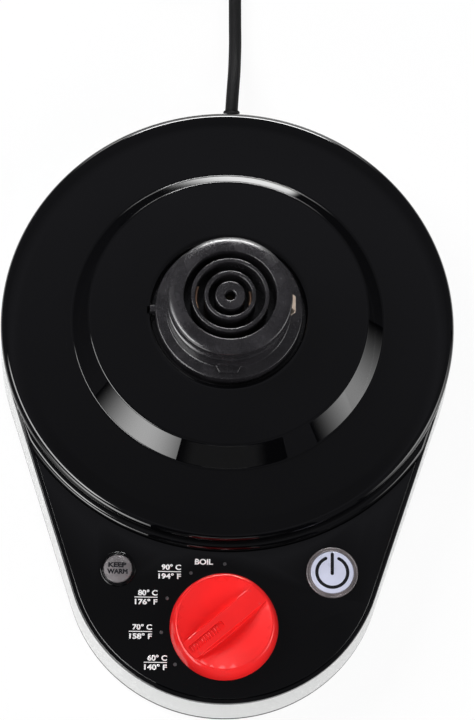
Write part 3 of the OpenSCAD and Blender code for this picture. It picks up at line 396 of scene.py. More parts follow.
def swept(bm, points, centre, begin, span, steps):
    """Sweep a profile of (radius, height) points part of the way round a vertical axis and close its ends."""
    start = [bm.verts.new((centre[0] + r, centre[1], z)) for r, z in points]
    face = bm.faces.new(start)
    bmesh.ops.rotate(bm, verts=start, cent=(*centre, 0), matrix=Matrix.Rotation(begin, 3, "Z"))
    bmesh.ops.spin(bm, geom=[face] + face.edges[:] + start, cent=(*centre, 0), axis=(0, 0, 1), dvec=(0, 0, 0),
                   angle=span, steps=steps, use_merge=False, use_duplicate=False)
    bmesh.ops.holes_fill(bm, edges=[e for e in bm.edges if e.is_boundary], sides=0)


def ring_edges(bm, centre, r, z):
    """The edges that lie on one ring of a turned shape."""
    def on_ring(v):
        return abs(math.hypot(v.co.x - centre[0], v.co.y - centre[1]) - r) < 2e-5 and abs(v.co.z - z) < 2e-5
    return [e for e in bm.edges if on_ring(e.verts[0]) and on_ring(e.verts[1])]


def rounded(bm, edges, size, segments=3):
    """Round edges off with an even bevel."""
    bmesh.ops.bevel(bm, geom=edges, offset=size, offset_type="OFFSET", segments=segments, profile=0.5,
                    affect="EDGES", material=-1, clamp_overlap=True)


def round_rings(bm, centre, *rings):
    """Round rings of a turned shape, each given by its radius, height, size of rounding and segments."""
    for r, z, size, segments in rings:
        rounded(bm, ring_edges(bm, centre, r, z), size, segments)


def sharp_edges(bm, degrees):
    return [e for e in bm.edges if len(e.link_faces) == 2 and e.calc_face_angle(0) > math.radians(degrees)]


def verts_in(geom):
    return [g for g in geom if isinstance(g, bmesh.types.BMVert)]


def to_mesh(name, bm):
    """Turn a bmesh into a mesh and free it."""
    mesh = bpy.data.meshes.new(name)
    bm.to_mesh(mesh)
    bm.free()
    return mesh


def merge_in(bm, other):
    """Add another bmesh's shape to a bmesh."""
    mesh = to_mesh("shape", other)
    bm.from_mesh(mesh)
    bpy.data.meshes.remove(mesh)


def sleeve(points, steps, axis, at):
    """A turned sleeve with softened edges, laid level by a turn about an axis and moved to its place."""
    bm = bmesh.new()
    turned(bm, points, (0, 0), steps)
    rounded(bm, sharp_edges(bm, 50), 0.12 * MM, 2)
    bmesh.ops.rotate(bm, verts=bm.verts, cent=(0, 0, 0), matrix=Matrix.Rotation(-math.pi / 2, 3, axis))
    bmesh.ops.translate(bm, vec=at, verts=bm.verts)
    face_outwards(bm)
    return bm


def box_at(bm, low, high):
    """A block between two corners; returns its vertices."""
    low, high = Vector(low), Vector(high)
    made = bmesh.ops.create_cube(bm, size=1.0)["verts"]
    bmesh.ops.scale(bm, vec=high - low, verts=made)
    bmesh.ops.translate(bm, vec=(high + low) / 2, verts=made)
    return made


def smooth_faces(mesh, degrees):
    """Shade a mesh smooth except over edges sharper than an angle."""
    mesh.polygons.foreach_set("use_smooth", [True] * len(mesh.polygons))
    mesh.set_sharp_from_angle(angle=math.radians(degrees))


def new_piece(name, bm, material, body, nodes=(), smooth=32):
    """Turn a bmesh into a piece that rides on a body and stands for CAD nodes."""
    mesh = to_mesh(name, bm)
    for attribute in [a.name for a in mesh.attributes if a.name == "custom_normal"]:
        mesh.attributes.remove(mesh.attributes[attribute])
    mesh.materials.clear()
    mesh.materials.append(material)
    smooth_faces(mesh, smooth)
    piece = bpy.data.objects.new(name, mesh)
    bpy.context.scene.collection.objects.link(piece)
    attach(piece, body)
    if nodes:
        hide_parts(*nodes)
    return piece


def cut_away(piece, cutter_bm):
    """Cut a solid shape out of a piece and drop the cutter."""
    mesh = to_mesh("cutter", cutter_bm)
    cutter = bpy.data.objects.new("cutter", mesh)
    bpy.context.scene.collection.objects.link(cutter)
    change = piece.modifiers.new("cut", "BOOLEAN")
    change.operation = "DIFFERENCE"
    change.solver = "EXACT"
    change.object = cutter
    shape = piece.evaluated_get(bpy.context.evaluated_depsgraph_get())
    result = bpy.data.meshes.new_from_object(shape)
    piece.modifiers.remove(change)
    old, piece.data = piece.data, result
    result.name = old.name
    bpy.data.meshes.remove(old)
    bpy.data.objects.remove(cutter)
    bpy.data.meshes.remove(mesh)
    smooth_faces(result, 32)


def node_copy(node):
    """A merged copy of a CAD node's shape with flat faces joined up."""
    bm = bmesh.new()
    bm.from_mesh(NODES[node].data)
    bmesh.ops.remove_doubles(bm, verts=bm.verts, dist=1e-6)
    bmesh.ops.dissolve_limit(bm, angle_limit=math.radians(0.3), use_dissolve_boundaries=False, verts=bm.verts,
                             edges=bm.edges, delimit={"NORMAL"})
    return bm


def top_outline(bm, z, centres):
    """Upper outline edges of a plate, away from its openings, each given as (x, y, radius)."""
    found = []
    for e in sharp_edges(bm, 50):
        middle = (e.verts[0].co + e.verts[1].co) / 2
        level = all(abs(v.co.z - z) < 2e-5 for v in e.verts)
        clear = all(math.hypot(middle.x - x, middle.y - y) > r for x, y, r in centres)
        if level and clear:
            found.append(e)
    return found


def add_words(bm, text, corner, width, height, weight=0.034):
    """Add one line of bold print, fitted between its lower left corner and a width and height."""
    curve = bpy.data.curves.new("words", "FONT")
    curve.body = text
    curve.size = 1.0
    curve.bevel_depth = weight
    curve.bevel_resolution = 0
    curve.extrude = 0.01
    writing = bpy.data.objects.new("words", curve)
    bpy.context.scene.collection.objects.link(writing)
    mesh = bpy.data.meshes.new_from_object(writing.evaluated_get(bpy.context.evaluated_depsgraph_get()))
    xs, ys = [v.co.x for v in mesh.vertices], [v.co.y for v in mesh.vertices]
    fit = Matrix.Diagonal((width / (max(xs) - min(xs)), height / (max(ys) - min(ys)), 1.25 * MM, 1))
    mesh.transform(Matrix.Translation(Vector(corner)) @ fit @ Matrix.Translation((-min(xs), -min(ys), 0)))
    bm.from_mesh(mesh)
    bpy.data.objects.remove(writing)
    bpy.data.curves.remove(curve)
    bpy.data.meshes.remove(mesh)


def give_finish(material, *nodes):
    for node in nodes:
        mesh = NODES[node].data
        mesh.materials.clear()
        mesh.materials.append(material)


def add(classes):
    """Collect the operators in the order in which they run."""
    def keep(cls):
        classes.append(cls)
        return cls
    return keep


PIECES = []


@add(PIECES)
class KETTLEBASE_OT_camera(bpy.types.Operator):
    """Set up the camera at the photograph's viewing angle"""
    bl_idname = "kettlebase.camera"
    bl_label = "Camera"

    def execute(self, context):
        data = bpy.data.cameras.new("main_camera")
        data.sensor_fit = "VERTICAL"
        data.sensor_height = 36.0
        data.lens = settings().studio.lens
        data.clip_start, data.clip_end = 0.02, 50.0
        camera = bpy.data.objects.new("main_camera", data)
        context.scene.collection.objects.link(camera)
        right = Vector((0.99939897, 0.00991327, 0.03321778))
        up = Vector((-0.01999342, 0.94763758, 0.31872133))
        back = Vector((-0.02831884, -0.31919391, 0.94726622))
        turn = Matrix((right, up, back)).transposed().to_4x4()
        camera.matrix_world = Matrix.Translation(Vector((-25.333, -313.453, 1003.010)) * MM) @ turn
        context.scene.camera = camera
        return {"FINISHED"}


def cord_route():
    """The cord's middle line, in millimetres: out of the casing, down to the table and into its coil."""
    sizes = settings().cord
    lead = [(1, 115.5, 9), (1, 119, 9), (1, 124, 9), (1.2, 129, 8.8), (1.6, 136, 7.8), (2, 143, 6),
            (2.2, 150, 4.2), (2.3, 157, 3), (2.2, 164, 2.6), (2.1, 172, 2.55), (2, 180, 2.6), (2, 188, 2.8),
            (2, 196, 3.1), (2, 203, 3.3), (2, 210, 3.3)]
    start, pitch, low = sizes.coil_r / MM, sizes.coil_pitch / MM, 3.3
    centre_x, centre_y = 2 - start, 215
    count = math.ceil(sizes.coil_turns * 24)
    coil = []
    for i in range(count + 1):
        a = 360 * sizes.coil_turns * i / count
        r = start - pitch * (a if a < 720 else 1440 - a) / 360
        s = min(max((a - 720) / 180 + 0.5, 0), 1)
        coil.append((centre_x + r * math.cos(math.radians(a)), centre_y + r * math.sin(math.radians(a)),
                     low + pitch * s * s * (3 - 2 * s)))
    return lead + coil + [(-46, coil[-1][1], low + pitch)]


@add(PIECES)
class KETTLEBASE_OT_cord(bpy.types.Operator):
    """Lay the mains cord with its strain relief, tie and plug"""
    bl_idname = "kettlebase.cord"
    bl_label = "Mains cord"

    def execute(self, context):
        sizes = settings().cord
        route = [Vector(p) * MM for p in cord_route()]
        curve = bpy.data.curves.new("mains_cord", "CURVE")
        curve.dimensions = "3D"
        curve.bevel_depth = sizes.diameter / 2
        curve.bevel_resolution = 5
        curve.resolution_u = 4
        curve.use_fill_caps = True
        line = curve.splines.new("BEZIER")
        line.bezier_points.add(len(route) - 1)
        for point, place in zip(line.bezier_points, route):
            point.co = place
            point.handle_left_type = point.handle_right_type = "AUTO"
        cord = bpy.data.objects.new("mains_cord", curve)
        context.scene.collection.objects.link(cord)
        curve.materials.append(cord_black())
        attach(cord, "base")
        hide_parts("cord_lead", "cord_coil")
        relief, tie, plug = self.strain_relief(), self.tie(), self.plug()
        give_finish(brass(), "plug_blades", "plug_earth_pin")
        return {"FINISHED"}

    def strain_relief(self):
        """A tapered sleeve with two flanges and bending ribs."""
        low, high = (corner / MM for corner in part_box("cord_gland"))
        wall = settings().casing.rear_wall / MM
        bore, body, flange = 2.55, 4.6, 5.2
        profile = [(bore, low.y), (body, low.y), (body, wall - 5.2), (flange, wall - 5.2), (flange, wall - 3.6),
                   (body, wall - 3.6), (body, wall + 0.05), (flange, wall + 0.05), (flange, wall + 1.5),
                   (4.5, wall + 1.8)]
        for i in range(3):
            r, back = 4.4 - 0.33 * i, wall + 2.6 + 1.8 * i
            profile += [(r, back), (r - 0.1, back + 1), (r - 0.75, back + 1.1), (r - 0.8, back + 1.7)]
        profile += [(3.3, high.y), (bore, high.y)]
        at = Vector((low.x + high.x, 0, low.z + high.z)) / 2 * MM
        bm = sleeve(in_mm(profile), 48, "X", at)
        return new_piece("strain_relief", bm, cord_black(), "base", ["cord_gland"])

    def tie(self):
        """A flat strap round the coil's turns."""
        low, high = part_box("cord_tie")
        bm = bmesh.new()
        box_at(bm, low, high)
        caps = [f for f in bm.faces if abs(f.normal.y) > 0.9]
        bmesh.ops.delete(bm, geom=caps, context="FACES_ONLY")
        lengthwise = [e for e in bm.edges if abs((e.verts[0].co - e.verts[1].co).y) > 1e-4]
        rounded(bm, lengthwise, 2.4 * MM, 6)
        face_outwards(bm)
        bmesh.ops.solidify(bm, geom=bm.faces[:], thickness=0.5 * MM)
        face_outwards(bm)
        material = finish("tie_black", settings().colours.rubber, 0.5, grain=900.0, bump=0.1)
        return new_piece("cord_strap", bm, material, "base", ["cord_tie"])

    def plug(self):
        """A moulded plug with a waisted grip and a ribbed neck."""
        low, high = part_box("plug_body")
        back = low.x + 24 * MM
        middle = Vector((low.x + back, low.y + high.y, low.z + high.z)) / 2
        bm = bmesh.new()
        box_at(bm, low, (back, high.y, high.z))
        along = [e for e in bm.edges if abs((e.verts[0].co - e.verts[1].co).x) > 0.01]
        rounded(bm, along, 4 * MM, 6)
        rear = [f for f in bm.faces if f.normal.x > 0.9]
        bmesh.ops.inset_region(bm, faces=rear, thickness=1.5 * MM, depth=0)
        ring = [e for e in bm.edges if all(abs(v.co.x - back) < 1e-6 for v in e.verts)]
        rounded(bm, [e for e in ring if any(abs(f.normal.x) < 0.1 for f in e.link_faces)], 1.2 * MM, 4)
        front = [e for e in bm.edges if all(abs(v.co.x - low.x) < 1e-6 for v in e.verts)]
        rounded(bm, front, 0.5 * MM, 2)
        for depth in (5, 10, 15):
            bmesh.ops.bisect_plane(bm, geom=bm.verts[:] + bm.edges[:] + bm.faces[:], dist=1e-7,
                                   plane_co=(back - depth * MM, 0, 0), plane_no=(1, 0, 0))
        waist, reach, slimmer = back - 10 * MM, 8 * MM, 0.1
        for v in bm.verts:
            share = max(0.0, 1 - abs(v.co.x - waist) / reach)
            v.co.y = middle.y + (v.co.y - middle.y) * (1 - slimmer * share)
        face_outwards(bm)
        bore = 2.55
        profile = [(bore, 0)]
        for i in range(6):
            r, x = 3.5 + 0.4 * i, 0.2 + 2.9 * i
            profile += [(r, x), (r + 0.1, x + 1.9), (r - 0.55, x + 2.0), (r - 0.5, x + 2.8)]
        profile += [(6, 17.7), (6, 18.3), (bore, 18.3)]
        merge_in(bm, sleeve(in_mm(profile), 40, "Y", (high.x, middle.y, middle.z)))
        return new_piece("plug_moulding", bm, cord_black(), "base", ["plug_body"])


@add(PIECES)
class KETTLEBASE_OT_casing(bpy.types.Operator):
    """Finish the deck, the silver band, the bottom cover and the feet"""
    bl_idname = "kettlebase.casing"
    bl_label = "Casing"

    def execute(self, context):
        colours = settings().colours
        bm = node_copy("upper_housing")
        rounded(bm, self.outline_edges(bm), 0.5 * MM, 3)
        new_piece("deck", bm, gloss_black(), "base", ["upper_housing"])
        band = finish("satin_silver", colours.silver, 0.4, spread=0.06, rough_spread=0.05, grain=1500.0, bump=0.03,
                      streaks=True, fixed={"Metallic": 0.85})
        give_finish(band, "skirt_band")
        matte = finish("matte_black", colours.matte_black, 0.55, grain=1300.0, cloud=40.0, bump=0.15)
        give_finish(matte, "bottom_cover", "cord_clamp", "socket_back")
        self.feet()
        return {"FINISHED"}

    def outline_edges(self, bm):
        """Upper edges of the casing's outline, which lies outside the platform and the inlay plate."""
        low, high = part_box("upper_housing")
        rear_r, front_r, lip = settings().platform.radius, settings().casing.front_r, 0.6 * MM
        axis, front = high.y - rear_r, low.y + front_r
        lean = math.asin((rear_r - front_r) / (axis - front))
        outward = Vector((math.cos(lean), -math.sin(lean)))

        def past(edge):
            x, y, _ = (edge.verts[0].co + edge.verts[1].co) / 2
            away = [Vector((abs(x), y - axis)).dot(outward) - rear_r]
            if y > axis - rear_r * math.sin(lean):
                away.append(math.hypot(x, y - axis) - rear_r)
            if y < front - front_r * math.sin(lean):
                away.append(math.hypot(x, y - front) - front_r)
            return max(away)
        return [e for e in top_outline(bm, high.z, []) if past(e) > -lip]

    def feet(self):
        """Six soft feet with rounded rims and a shallow ring."""
        bm = bmesh.new()
        casing = settings().casing
        rows = ((casing.rear_feet, settings().platform.axis_y, (-13, 48, 132, 193)),
                (casing.front_feet, casing.front_y, (225, 315)))
        profile = in_mm([(0, 0.35), (5.4, 0.35), (5.7, 0), (7.6, 0), (8, 0.4), (8, 1.5), (2.4, 1.5), (2.4, 4.5),
                         (0, 4.5)])
        for r, y, turns in rows:
            for a in turns:
                foot = bmesh.new()
                turned(foot, profile, (r * math.cos(math.radians(a)), y + r * math.sin(math.radians(a))), 40)
                rounded(foot, sharp_edges(foot, 60), 0.15 * MM, 2)
                merge_in(bm, foot)
        material = finish("foot_rubber", settings().colours.rubber, 0.7, grain=1500.0, cloud=80.0, bump=0.2)
        new_piece("foot_pads", bm, material, "base", ["rubber_feet"])


@add(PIECES)
class KETTLEBASE_OT_platform(bpy.types.Operator):
    """Model the round platform with its soft rim, slope and kettle seat"""
    bl_idname = "kettlebase.platform"
    bl_label = "Platform"

    def execute(self, context):
        p = settings().platform
        centre = (0, p.axis_y)
        under = p.seat_z - p.wall
        profile = [(p.radius - p.wall, p.foot_z), (p.radius, p.foot_z)] + self.rim(p) + [
            (p.slope_foot + MM, p.ring_z), (p.slope_foot, p.ring_z), (p.slope_top, p.seat_z),
            (p.slope_top - MM, p.seat_z), (p.hole + 2 * MM, p.seat_z), (p.hole, p.seat_z), (p.hole, under),
            (p.slope_top - p.wall / 2, under),
            (p.slope_foot - p.wall / 2, p.ring_z - p.wall), (p.radius - 2 * p.wall, p.ring_z - p.wall),
            (p.radius - p.wall, p.ring_z - 2 * p.wall)]
        bm = bmesh.new()
        turned(bm, profile, centre, 192)
        round_rings(bm, centre, (p.slope_foot, p.ring_z, p.slope_fillet, 2),
                    (p.slope_top, p.seat_z, p.slope_round, 2), (p.hole, p.seat_z, p.hole_round, 4),
                    (p.radius, p.foot_z, 0.4 * MM, 2))
        piece = new_piece("platform", bm, gloss_black(), "base", ["kettle_platform"])
        notch = bmesh.new()
        box_at(notch, (-p.notch_reach, p.axis_y - p.notch_width / 2, under - MM),
               (-p.hole + 2 * MM, p.axis_y + p.notch_width / 2, p.seat_z + MM))
        cut_away(piece, notch)
        self.foot_bead(p)
        return {"FINISHED"}

    def foot_bead(self, p):
        """A rounded ledge on the deck between the platform's foot and the inlay plate."""
        front_r = settings().casing.front_r
        lean = math.asin((p.radius - front_r) / (p.axis_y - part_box("upper_housing")[0].y - front_r))
        overlap, reach, end, margin = 0.2 * MM, 2.1 * MM, math.radians(60), 0.6 * MM
        inner, flat, top = p.radius - overlap, p.radius + 0.1 * MM, p.foot_z + 1.3 * MM
        round_r = (p.radius + reach - flat) / math.sin(end)
        turns = [end * i / 8 for i in range(9)]
        arc = [(flat + round_r * math.sin(t), top - round_r * (1 - math.cos(t))) for t in turns]
        profile = [(inner, p.foot_z), (inner, top)] + arc + [(p.radius + reach, p.foot_z)]
        begin = math.pi + lean + math.radians(4.5)
        bm = bmesh.new()
        swept(bm, profile, (0, p.axis_y), begin, math.radians(540) - 2 * begin, 120)
        for v in bm.verts:
            away = Vector((v.co.x, v.co.y - p.axis_y))
            turn = abs(math.atan2(away.x, -away.y))
            room = p.radius / math.cos(min(turn - math.pi / 2 + lean, 0)) - margin - inner
            share = min(1.0, max(0.02, room / (reach + overlap)))
            away = away.normalized() * (inner + (away.length - inner) * share)
            v.co.x, v.co.y = away.x, p.axis_y + away.y
        face_outwards(bm)
        new_piece("platform_foot_bead", bm, gloss_black(), "base")

    def rim(self, p):
        """The rim from its outermost edge inwards: a rounding, then a soft fall from the flat ring."""
        width, fall = p.crown_end - p.crown_start, p.crown_fall
        crown = [(p.crown_start + width * i / 6, p.ring_z - math.tan(fall) * width / 2 * (i / 6) ** 2)
                 for i in range(7)]
        radius = (p.radius - p.crown_end) / (1 - math.sin(fall))
        r, z = crown[-1][0] - radius * math.sin(fall), crown[-1][1] - radius * math.cos(fall)
        turns = [fall + (math.pi / 2 - fall) * i / 10 for i in range(1, 11)]
        arc = [(r + radius * math.sin(t), z + radius * math.cos(t)) for t in turns]
        return arc[::-1] + crown[::-1]


@add(PIECES)
class KETTLEBASE_OT_socket(bpy.types.Operator):
    """Model the socket's nose, insulating rings and centre guide"""
    bl_idname = "kettlebase.socket"
    bl_label = "Socket"

    def execute(self, context):
        s = settings().socket
        centre = (0, settings().platform.axis_y)
        self.nose(s, centre)
        self.rings(s, centre)
        self.guide(s, centre)
        copper = finish("contact_copper", settings().colours.copper, 0.32, spread=0.2, grain=700.0, cloud=200.0,
                        bump=0.05, marks=0.4, marks_scale=200.0, marks_lift=0.6, fixed={"Metallic": 1.0})
        give_finish(copper, "live_contact", "neutral_contact")
        bright = finish("bright_copper", settings().colours.earth_copper, 0.45, spread=0.1, cloud=200.0, bump=0.03,
                        fixed={"Metallic": 0.35})
        give_finish(bright, "earth_spring")
        give_finish(brass(), "centre_contact")
        return {"FINISHED"}

    def nose(self, s, centre):
        """Flange, collar, grooved wall, lip and domed shoulder, with its key, latch and earth window."""
        shoulder = []
        for i in range(11):
            a = math.pi / 2 * i / 10
            shoulder.append((s.bore + (s.nose - s.bore) * math.cos(a),
                             s.lip_z + s.lip_h + (s.nose_z - s.lip_z - s.lip_h) * math.sin(a)))
        edge = 0.2 * MM
        low = s.lip_z - s.groove_w
        seat = 20.06 * MM
        ledge = s.floor_z - 0.94 * MM
        groove = [(s.nose, low), (s.nose - s.groove, low + edge), (s.nose - s.groove, s.lip_z - edge),
                  (s.nose, s.lip_z)]
        profile = [(seat, s.flange_z), (s.flange, s.flange_z), (s.flange, s.flange_z + s.flange_t),
                   (s.collar, s.flange_z + s.flange_t), (s.collar, s.collar_z), (s.nose, s.collar_z)]
        profile += groove + shoulder + [(s.bore, ledge), (seat, ledge)]
        bm = bmesh.new()
        turned(bm, profile, centre, 128)
        round_rings(bm, centre, (s.collar, s.collar_z, 0.7 * MM, 4), (s.nose, s.collar_z, 0.5 * MM, 3),
                    *((r, z, 0.16 * MM, 2) for r, z in groove), (s.bore, s.nose_z, 0.4 * MM, 3))
        piece = new_piece("socket_body", bm, socket_grey(), "base", ["socket_nose"])
        low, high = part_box("earth_spring")
        window = bmesh.new()
        box_at(window, (low.x - 0.3 * MM, low.y - 0.2 * MM, s.collar_z + 0.5 * MM),
               (s.nose + 2 * MM, high.y + 0.2 * MM, high.z + 0.3 * MM))
        cut_away(piece, window)
        bm = bmesh.new()
        lift = settings().platform.seat_z - settings().platform.wall + 0.5 * MM
        box_at(bm, (-s.key_reach, centre[1] - s.key_w / 2, lift),
               (-s.collar + 1.5 * MM, centre[1] + s.key_w / 2, s.collar_z - 0.5 * MM))
        front = centre[1] - s.nose
        corners = [(-s.latch_w / 2, front + 0.6 * MM), (s.latch_w / 2, front + 0.6 * MM),
                   (s.latch_tip / 2, front - s.latch_l), (-s.latch_tip / 2, front - s.latch_l)]
        face = bm.faces.new([bm.verts.new((x, y, s.collar_z - 0.05 * MM)) for x, y in corners])
        grown = bmesh.ops.extrude_face_region(bm, geom=[face])["geom"]
        bmesh.ops.translate(bm, vec=(0, 0, s.latch_h + 0.05 * MM), verts=verts_in(grown))
        face_outwards(bm)
        rounded(bm, sharp_edges(bm, 30), 0.22 * MM, 3)
        new_piece("socket_key_and_latch", bm, socket_grey(), "base")

    def rings(self, s, centre):
        """Two insulating rings on their carrier."""
        bm = bmesh.new()
        hole, plate, wall = 1.5 * MM, 20 * MM, s.bore - 0.06 * MM
        base, step, root = s.floor_z - 4 * MM, s.floor_z - MM, s.floor_z - 0.01 * MM
        turned(bm, [(hole, base), (plate, base), (plate, step), (wall, step), (wall, s.floor_z),
                    (hole, s.floor_z)], centre, 96)
        for r in (s.outer_ring, s.inner_ring):
            ring = bmesh.new()
            inside = r - s.ring_t
            turned(ring, [(inside, root), (r, root), (r, s.ring_z), (inside, s.ring_z)], centre, 96)
            round_rings(ring, centre, (r, s.ring_z, 0.4 * MM, 3), (inside, s.ring_z, 0.4 * MM, 3))
            merge_in(bm, ring)
        new_piece("socket_rings", bm, socket_grey(), "base", ["contact_carrier"])

    def guide(self, s, centre):
        """The post round the hole for the kettle's centre pin."""
        low_r = 1.4 * MM
        hole_z = s.floor_z + 3 * MM
        bm = bmesh.new()
        turned(bm, [(low_r, s.floor_z), (s.guide, s.floor_z), (s.guide, s.guide_z), (s.pin_hole, s.guide_z),
                    (s.pin_hole, hole_z), (low_r, hole_z)], centre, 72)
        round_rings(bm, centre, (s.guide, s.guide_z, 0.5 * MM, 3), (s.pin_hole, s.guide_z, 0.5 * MM, 3))
        new_piece("pin_guide", bm, socket_grey(), "base", ["centre_guide"])


@add(PIECES)
class KETTLEBASE_OT_panel(bpy.types.Operator):
    """Model the inlay plate with its bevelled edge and the lights in it"""
    bl_idname = "kettlebase.panel"
    bl_label = "Control panel"

    def execute(self, context):
        d, b = settings().dial, settings().buttons
        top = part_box("control_panel")[1].z
        shaft, power, warm, light = 8 * MM, 10.5 * MM, 8.5 * MM, 1.5 * MM
        holes = [(0, d.axis_y, shaft), (b.power_x, b.row_y, power), (b.warm_x, b.row_y, warm)]
        for i in range(5):
            a = math.pi / 2 + i * d.mark_step
            holes.append((d.mark_r * math.cos(a), d.mark_y + d.mark_r * math.sin(a), light))
        bm = node_copy("control_panel")
        rounded(bm, top_outline(bm, top, holes), 1.0 * MM, 4)
        new_piece("inlay_plate", bm, gloss_black(), "base", ["control_panel"])
        lens = finish("light_grey_lens", (0.06, 0.06, 0.063), 0.25, spread=0.3, cloud=500.0,
                      fixed={"Coat Weight": 0.5})
        give_finish(lens, "indicator_lenses")
        return {"FINISHED"}


@add(PIECES)
class KETTLEBASE_OT_dial(bpy.types.Operator):
    """Model the temperature dial with its finger scoops, grip bar and ribbed slot"""
    bl_idname = "kettlebase.dial"
    bl_label = "Temperature dial"

    def depth(self, d, x, y):
        """Depth of the scoop below the dial's top at a place."""
        share = min(1.0, math.hypot(x, y) / d.scoop)
        return d.scoop_depth * (1 - share ** 2.4)

    def execute(self, context):
        d = settings().dial
        half = d.bar / 2
        bm = bmesh.new()
        bmesh.ops.create_circle(bm, cap_ends=True, segments=144, radius=d.scoop)
        rows = [half, half + 1.4 * MM, half + 3 * MM, half + 5 * MM, half + 7.4 * MM, half + 10 * MM]
        cuts = [(0, s * r, 1) for r in rows for s in (-1, 1)] + [(0, s * d.slot_w / 2, 1) for s in (-1, 1)]
        cuts += [(d.slot_inner, 0, 0), (d.slot_outer, 0, 0)]
        cuts += [(x * 1.5 * MM, 0, 0) for x in range(-10, 11)]
        for x, y, level in cuts:
            bmesh.ops.bisect_plane(bm, geom=bm.verts[:] + bm.edges[:] + bm.faces[:], dist=1e-7, plane_co=(x, y, 0),
                                   plane_no=(0, 1, 0) if level else (1, 0, 0))
        bmesh.ops.remove_doubles(bm, verts=bm.verts, dist=1e-5)
        self.scoops(bm, d, half)
        self.slot(bm, d)
        self.outside(bm, d)
        face_outwards(bm)
        self.soften(bm, d, half)
        self.ribs(bm, d)
        edge = 0.6 * MM
        spots = [f.calc_center_median() for f in bm.faces]
        in_scoop = [p.xy.length < d.scoop - edge and abs(p.y) > half + edge for p in spots]
        place = Matrix.Translation((0, d.axis_y, d.foot_z + d.height)) @ Matrix.Rotation(d.pointer, 4, "Z")
        bmesh.ops.transform(bm, matrix=place, verts=bm.verts)
        tone = settings().colours.dial_red
        gloss = finish("dial_red", tone, 0.14, spread=0.04, rough_spread=0.03, grain=700.0, cloud=60.0, bump=0.01,
                       fixed={"Specular IOR Level": 0.5})
        satin = finish("dial_scoop_red", tone, 0.45, spread=0.04, rough_spread=0.04, grain=700.0, cloud=60.0,
                       bump=0.02, fixed={"Specular IOR Level": 0.1})
        piece = new_piece("dial", bm, gloss, "dial", ["temperature_knob"], smooth=40)
        piece.data.materials.append(satin)
        piece.data.polygons.foreach_set("material_index", [int(inside) for inside in in_scoop])
        return {"FINISHED"}

    def scoops(self, bm, d, half):
        """Part the bar from the scoops, sink the scoops and close the bar's walls."""
        def on_line(e):
            return all(abs(abs(v.co.y) - half) < 1e-6 for v in e.verts)
        bmesh.ops.split_edges(bm, edges=[e for e in bm.edges if on_line(e)])
        strip = {v for f in bm.faces if abs(f.calc_center_median().y) < half for v in f.verts}
        for v in bm.verts:
            if v not in strip:
                v.co.z = -self.depth(d, v.co.x, v.co.y)
        walls = [e for e in bm.edges if on_line(e) and all(v in strip for v in e.verts)]
        for v in verts_in(bmesh.ops.extrude_edge_only(bm, edges=walls)["geom"]):
            v.co.z = -self.depth(d, v.co.x, v.co.y)
        bmesh.ops.remove_doubles(bm, verts=bm.verts, dist=1e-6)

    def slot(self, bm, d):
        """Sink the slot into the bar's top."""
        def inside(f):
            c = f.calc_center_median()
            return abs(c.z) < 1e-6 and d.slot_inner < c.x < d.slot_outer and abs(c.y) < d.slot_w / 2
        floor = [f for f in bm.faces if inside(f)]
        grown = bmesh.ops.extrude_face_region(bm, geom=floor)["geom"]
        bmesh.ops.translate(bm, vec=(0, 0, -d.slot_h), verts=verts_in(grown))
        bmesh.ops.delete(bm, geom=[f for f in floor if f.is_valid], context="FACES_ONLY")

    def outside(self, bm, d):
        """Carry the rim outwards over its rounding, down the drafted wall and in under the foot."""
        top_r = d.radius - d.draft
        arc = [(top_r - d.rounding * (1 - math.sin(a)), -d.rounding * (1 - math.cos(a)))
               for a in [math.radians(15 * i) for i in range(0, 6)]]
        lean, hub, hub_l = d.draft / d.height, 6 * MM, 4.4 * MM
        profile = arc + [(top_r + lean * d.rounding, -d.rounding), (d.radius, -d.height), (hub, -d.height),
                         (hub, -d.height - hub_l)]
        loop = [e for e in bm.edges if e.is_boundary]
        for r, z in profile:
            grown = bmesh.ops.extrude_edge_only(bm, edges=loop)["geom"]
            for v in verts_in(grown):
                flat = Vector((v.co.x, v.co.y)).normalized() * r
                v.co = (flat.x, flat.y, z)
            loop = [g for g in grown if isinstance(g, bmesh.types.BMEdge) and g.is_boundary]
        bmesh.ops.edgeloop_fill(bm, edges=loop)

    def soften(self, bm, d, half):
        """Round the bar's upper edges and fill the corners at its foot."""
        def on_wall(v):
            return abs(abs(v.co.y) - half) < 1e-6

        def at_top(v):
            return on_wall(v) and abs(v.co.z) < 1e-6 and self.depth(d, v.co.x, half) > 1.6 * MM
        upper = [e for e in bm.edges if all(at_top(v) for v in e.verts)]
        rounded(bm, upper, 0.55 * MM, 4)
        lower = [e for e in bm.edges if all(on_wall(v) and v.co.z < -1.5 * MM for v in e.verts)
                 and abs(e.verts[0].co.x - e.verts[1].co.x) > 1e-5]
        rounded(bm, lower, 0.6 * MM, 3)
        corners = [e for e in bm.edges if abs(e.verts[0].co.z - e.verts[1].co.z) > d.slot_h * 0.9
                   and all(abs(abs(v.co.y) - d.slot_w / 2) < 1e-6 for v in e.verts)
                   and any(abs(e.verts[0].co.x - x) < 1e-6 for x in (d.slot_inner, d.slot_outer))]
        rounded(bm, corners, 0.9 * MM, 4)

    def ribs(self, bm, d):
        """Fine ribs across the slot's floor."""
        count = int((d.slot_outer - d.slot_inner) / d.rib_pitch)
        half_t, half_l, sunk, tall = 0.22 * MM, d.slot_w / 2 - 0.1 * MM, 0.1 * MM, 0.35 * MM
        for i in range(1, count):
            x = d.slot_outer - i * d.rib_pitch
            made = box_at(bm, (x - half_t, -half_l, -d.slot_h - sunk), (x + half_t, half_l, -d.slot_h + tall))
            edges = {e for v in made for e in v.link_edges}
            rounded(bm, [e for e in edges if all(v.co.z > -d.slot_h for v in e.verts)], 0.1 * MM, 2)


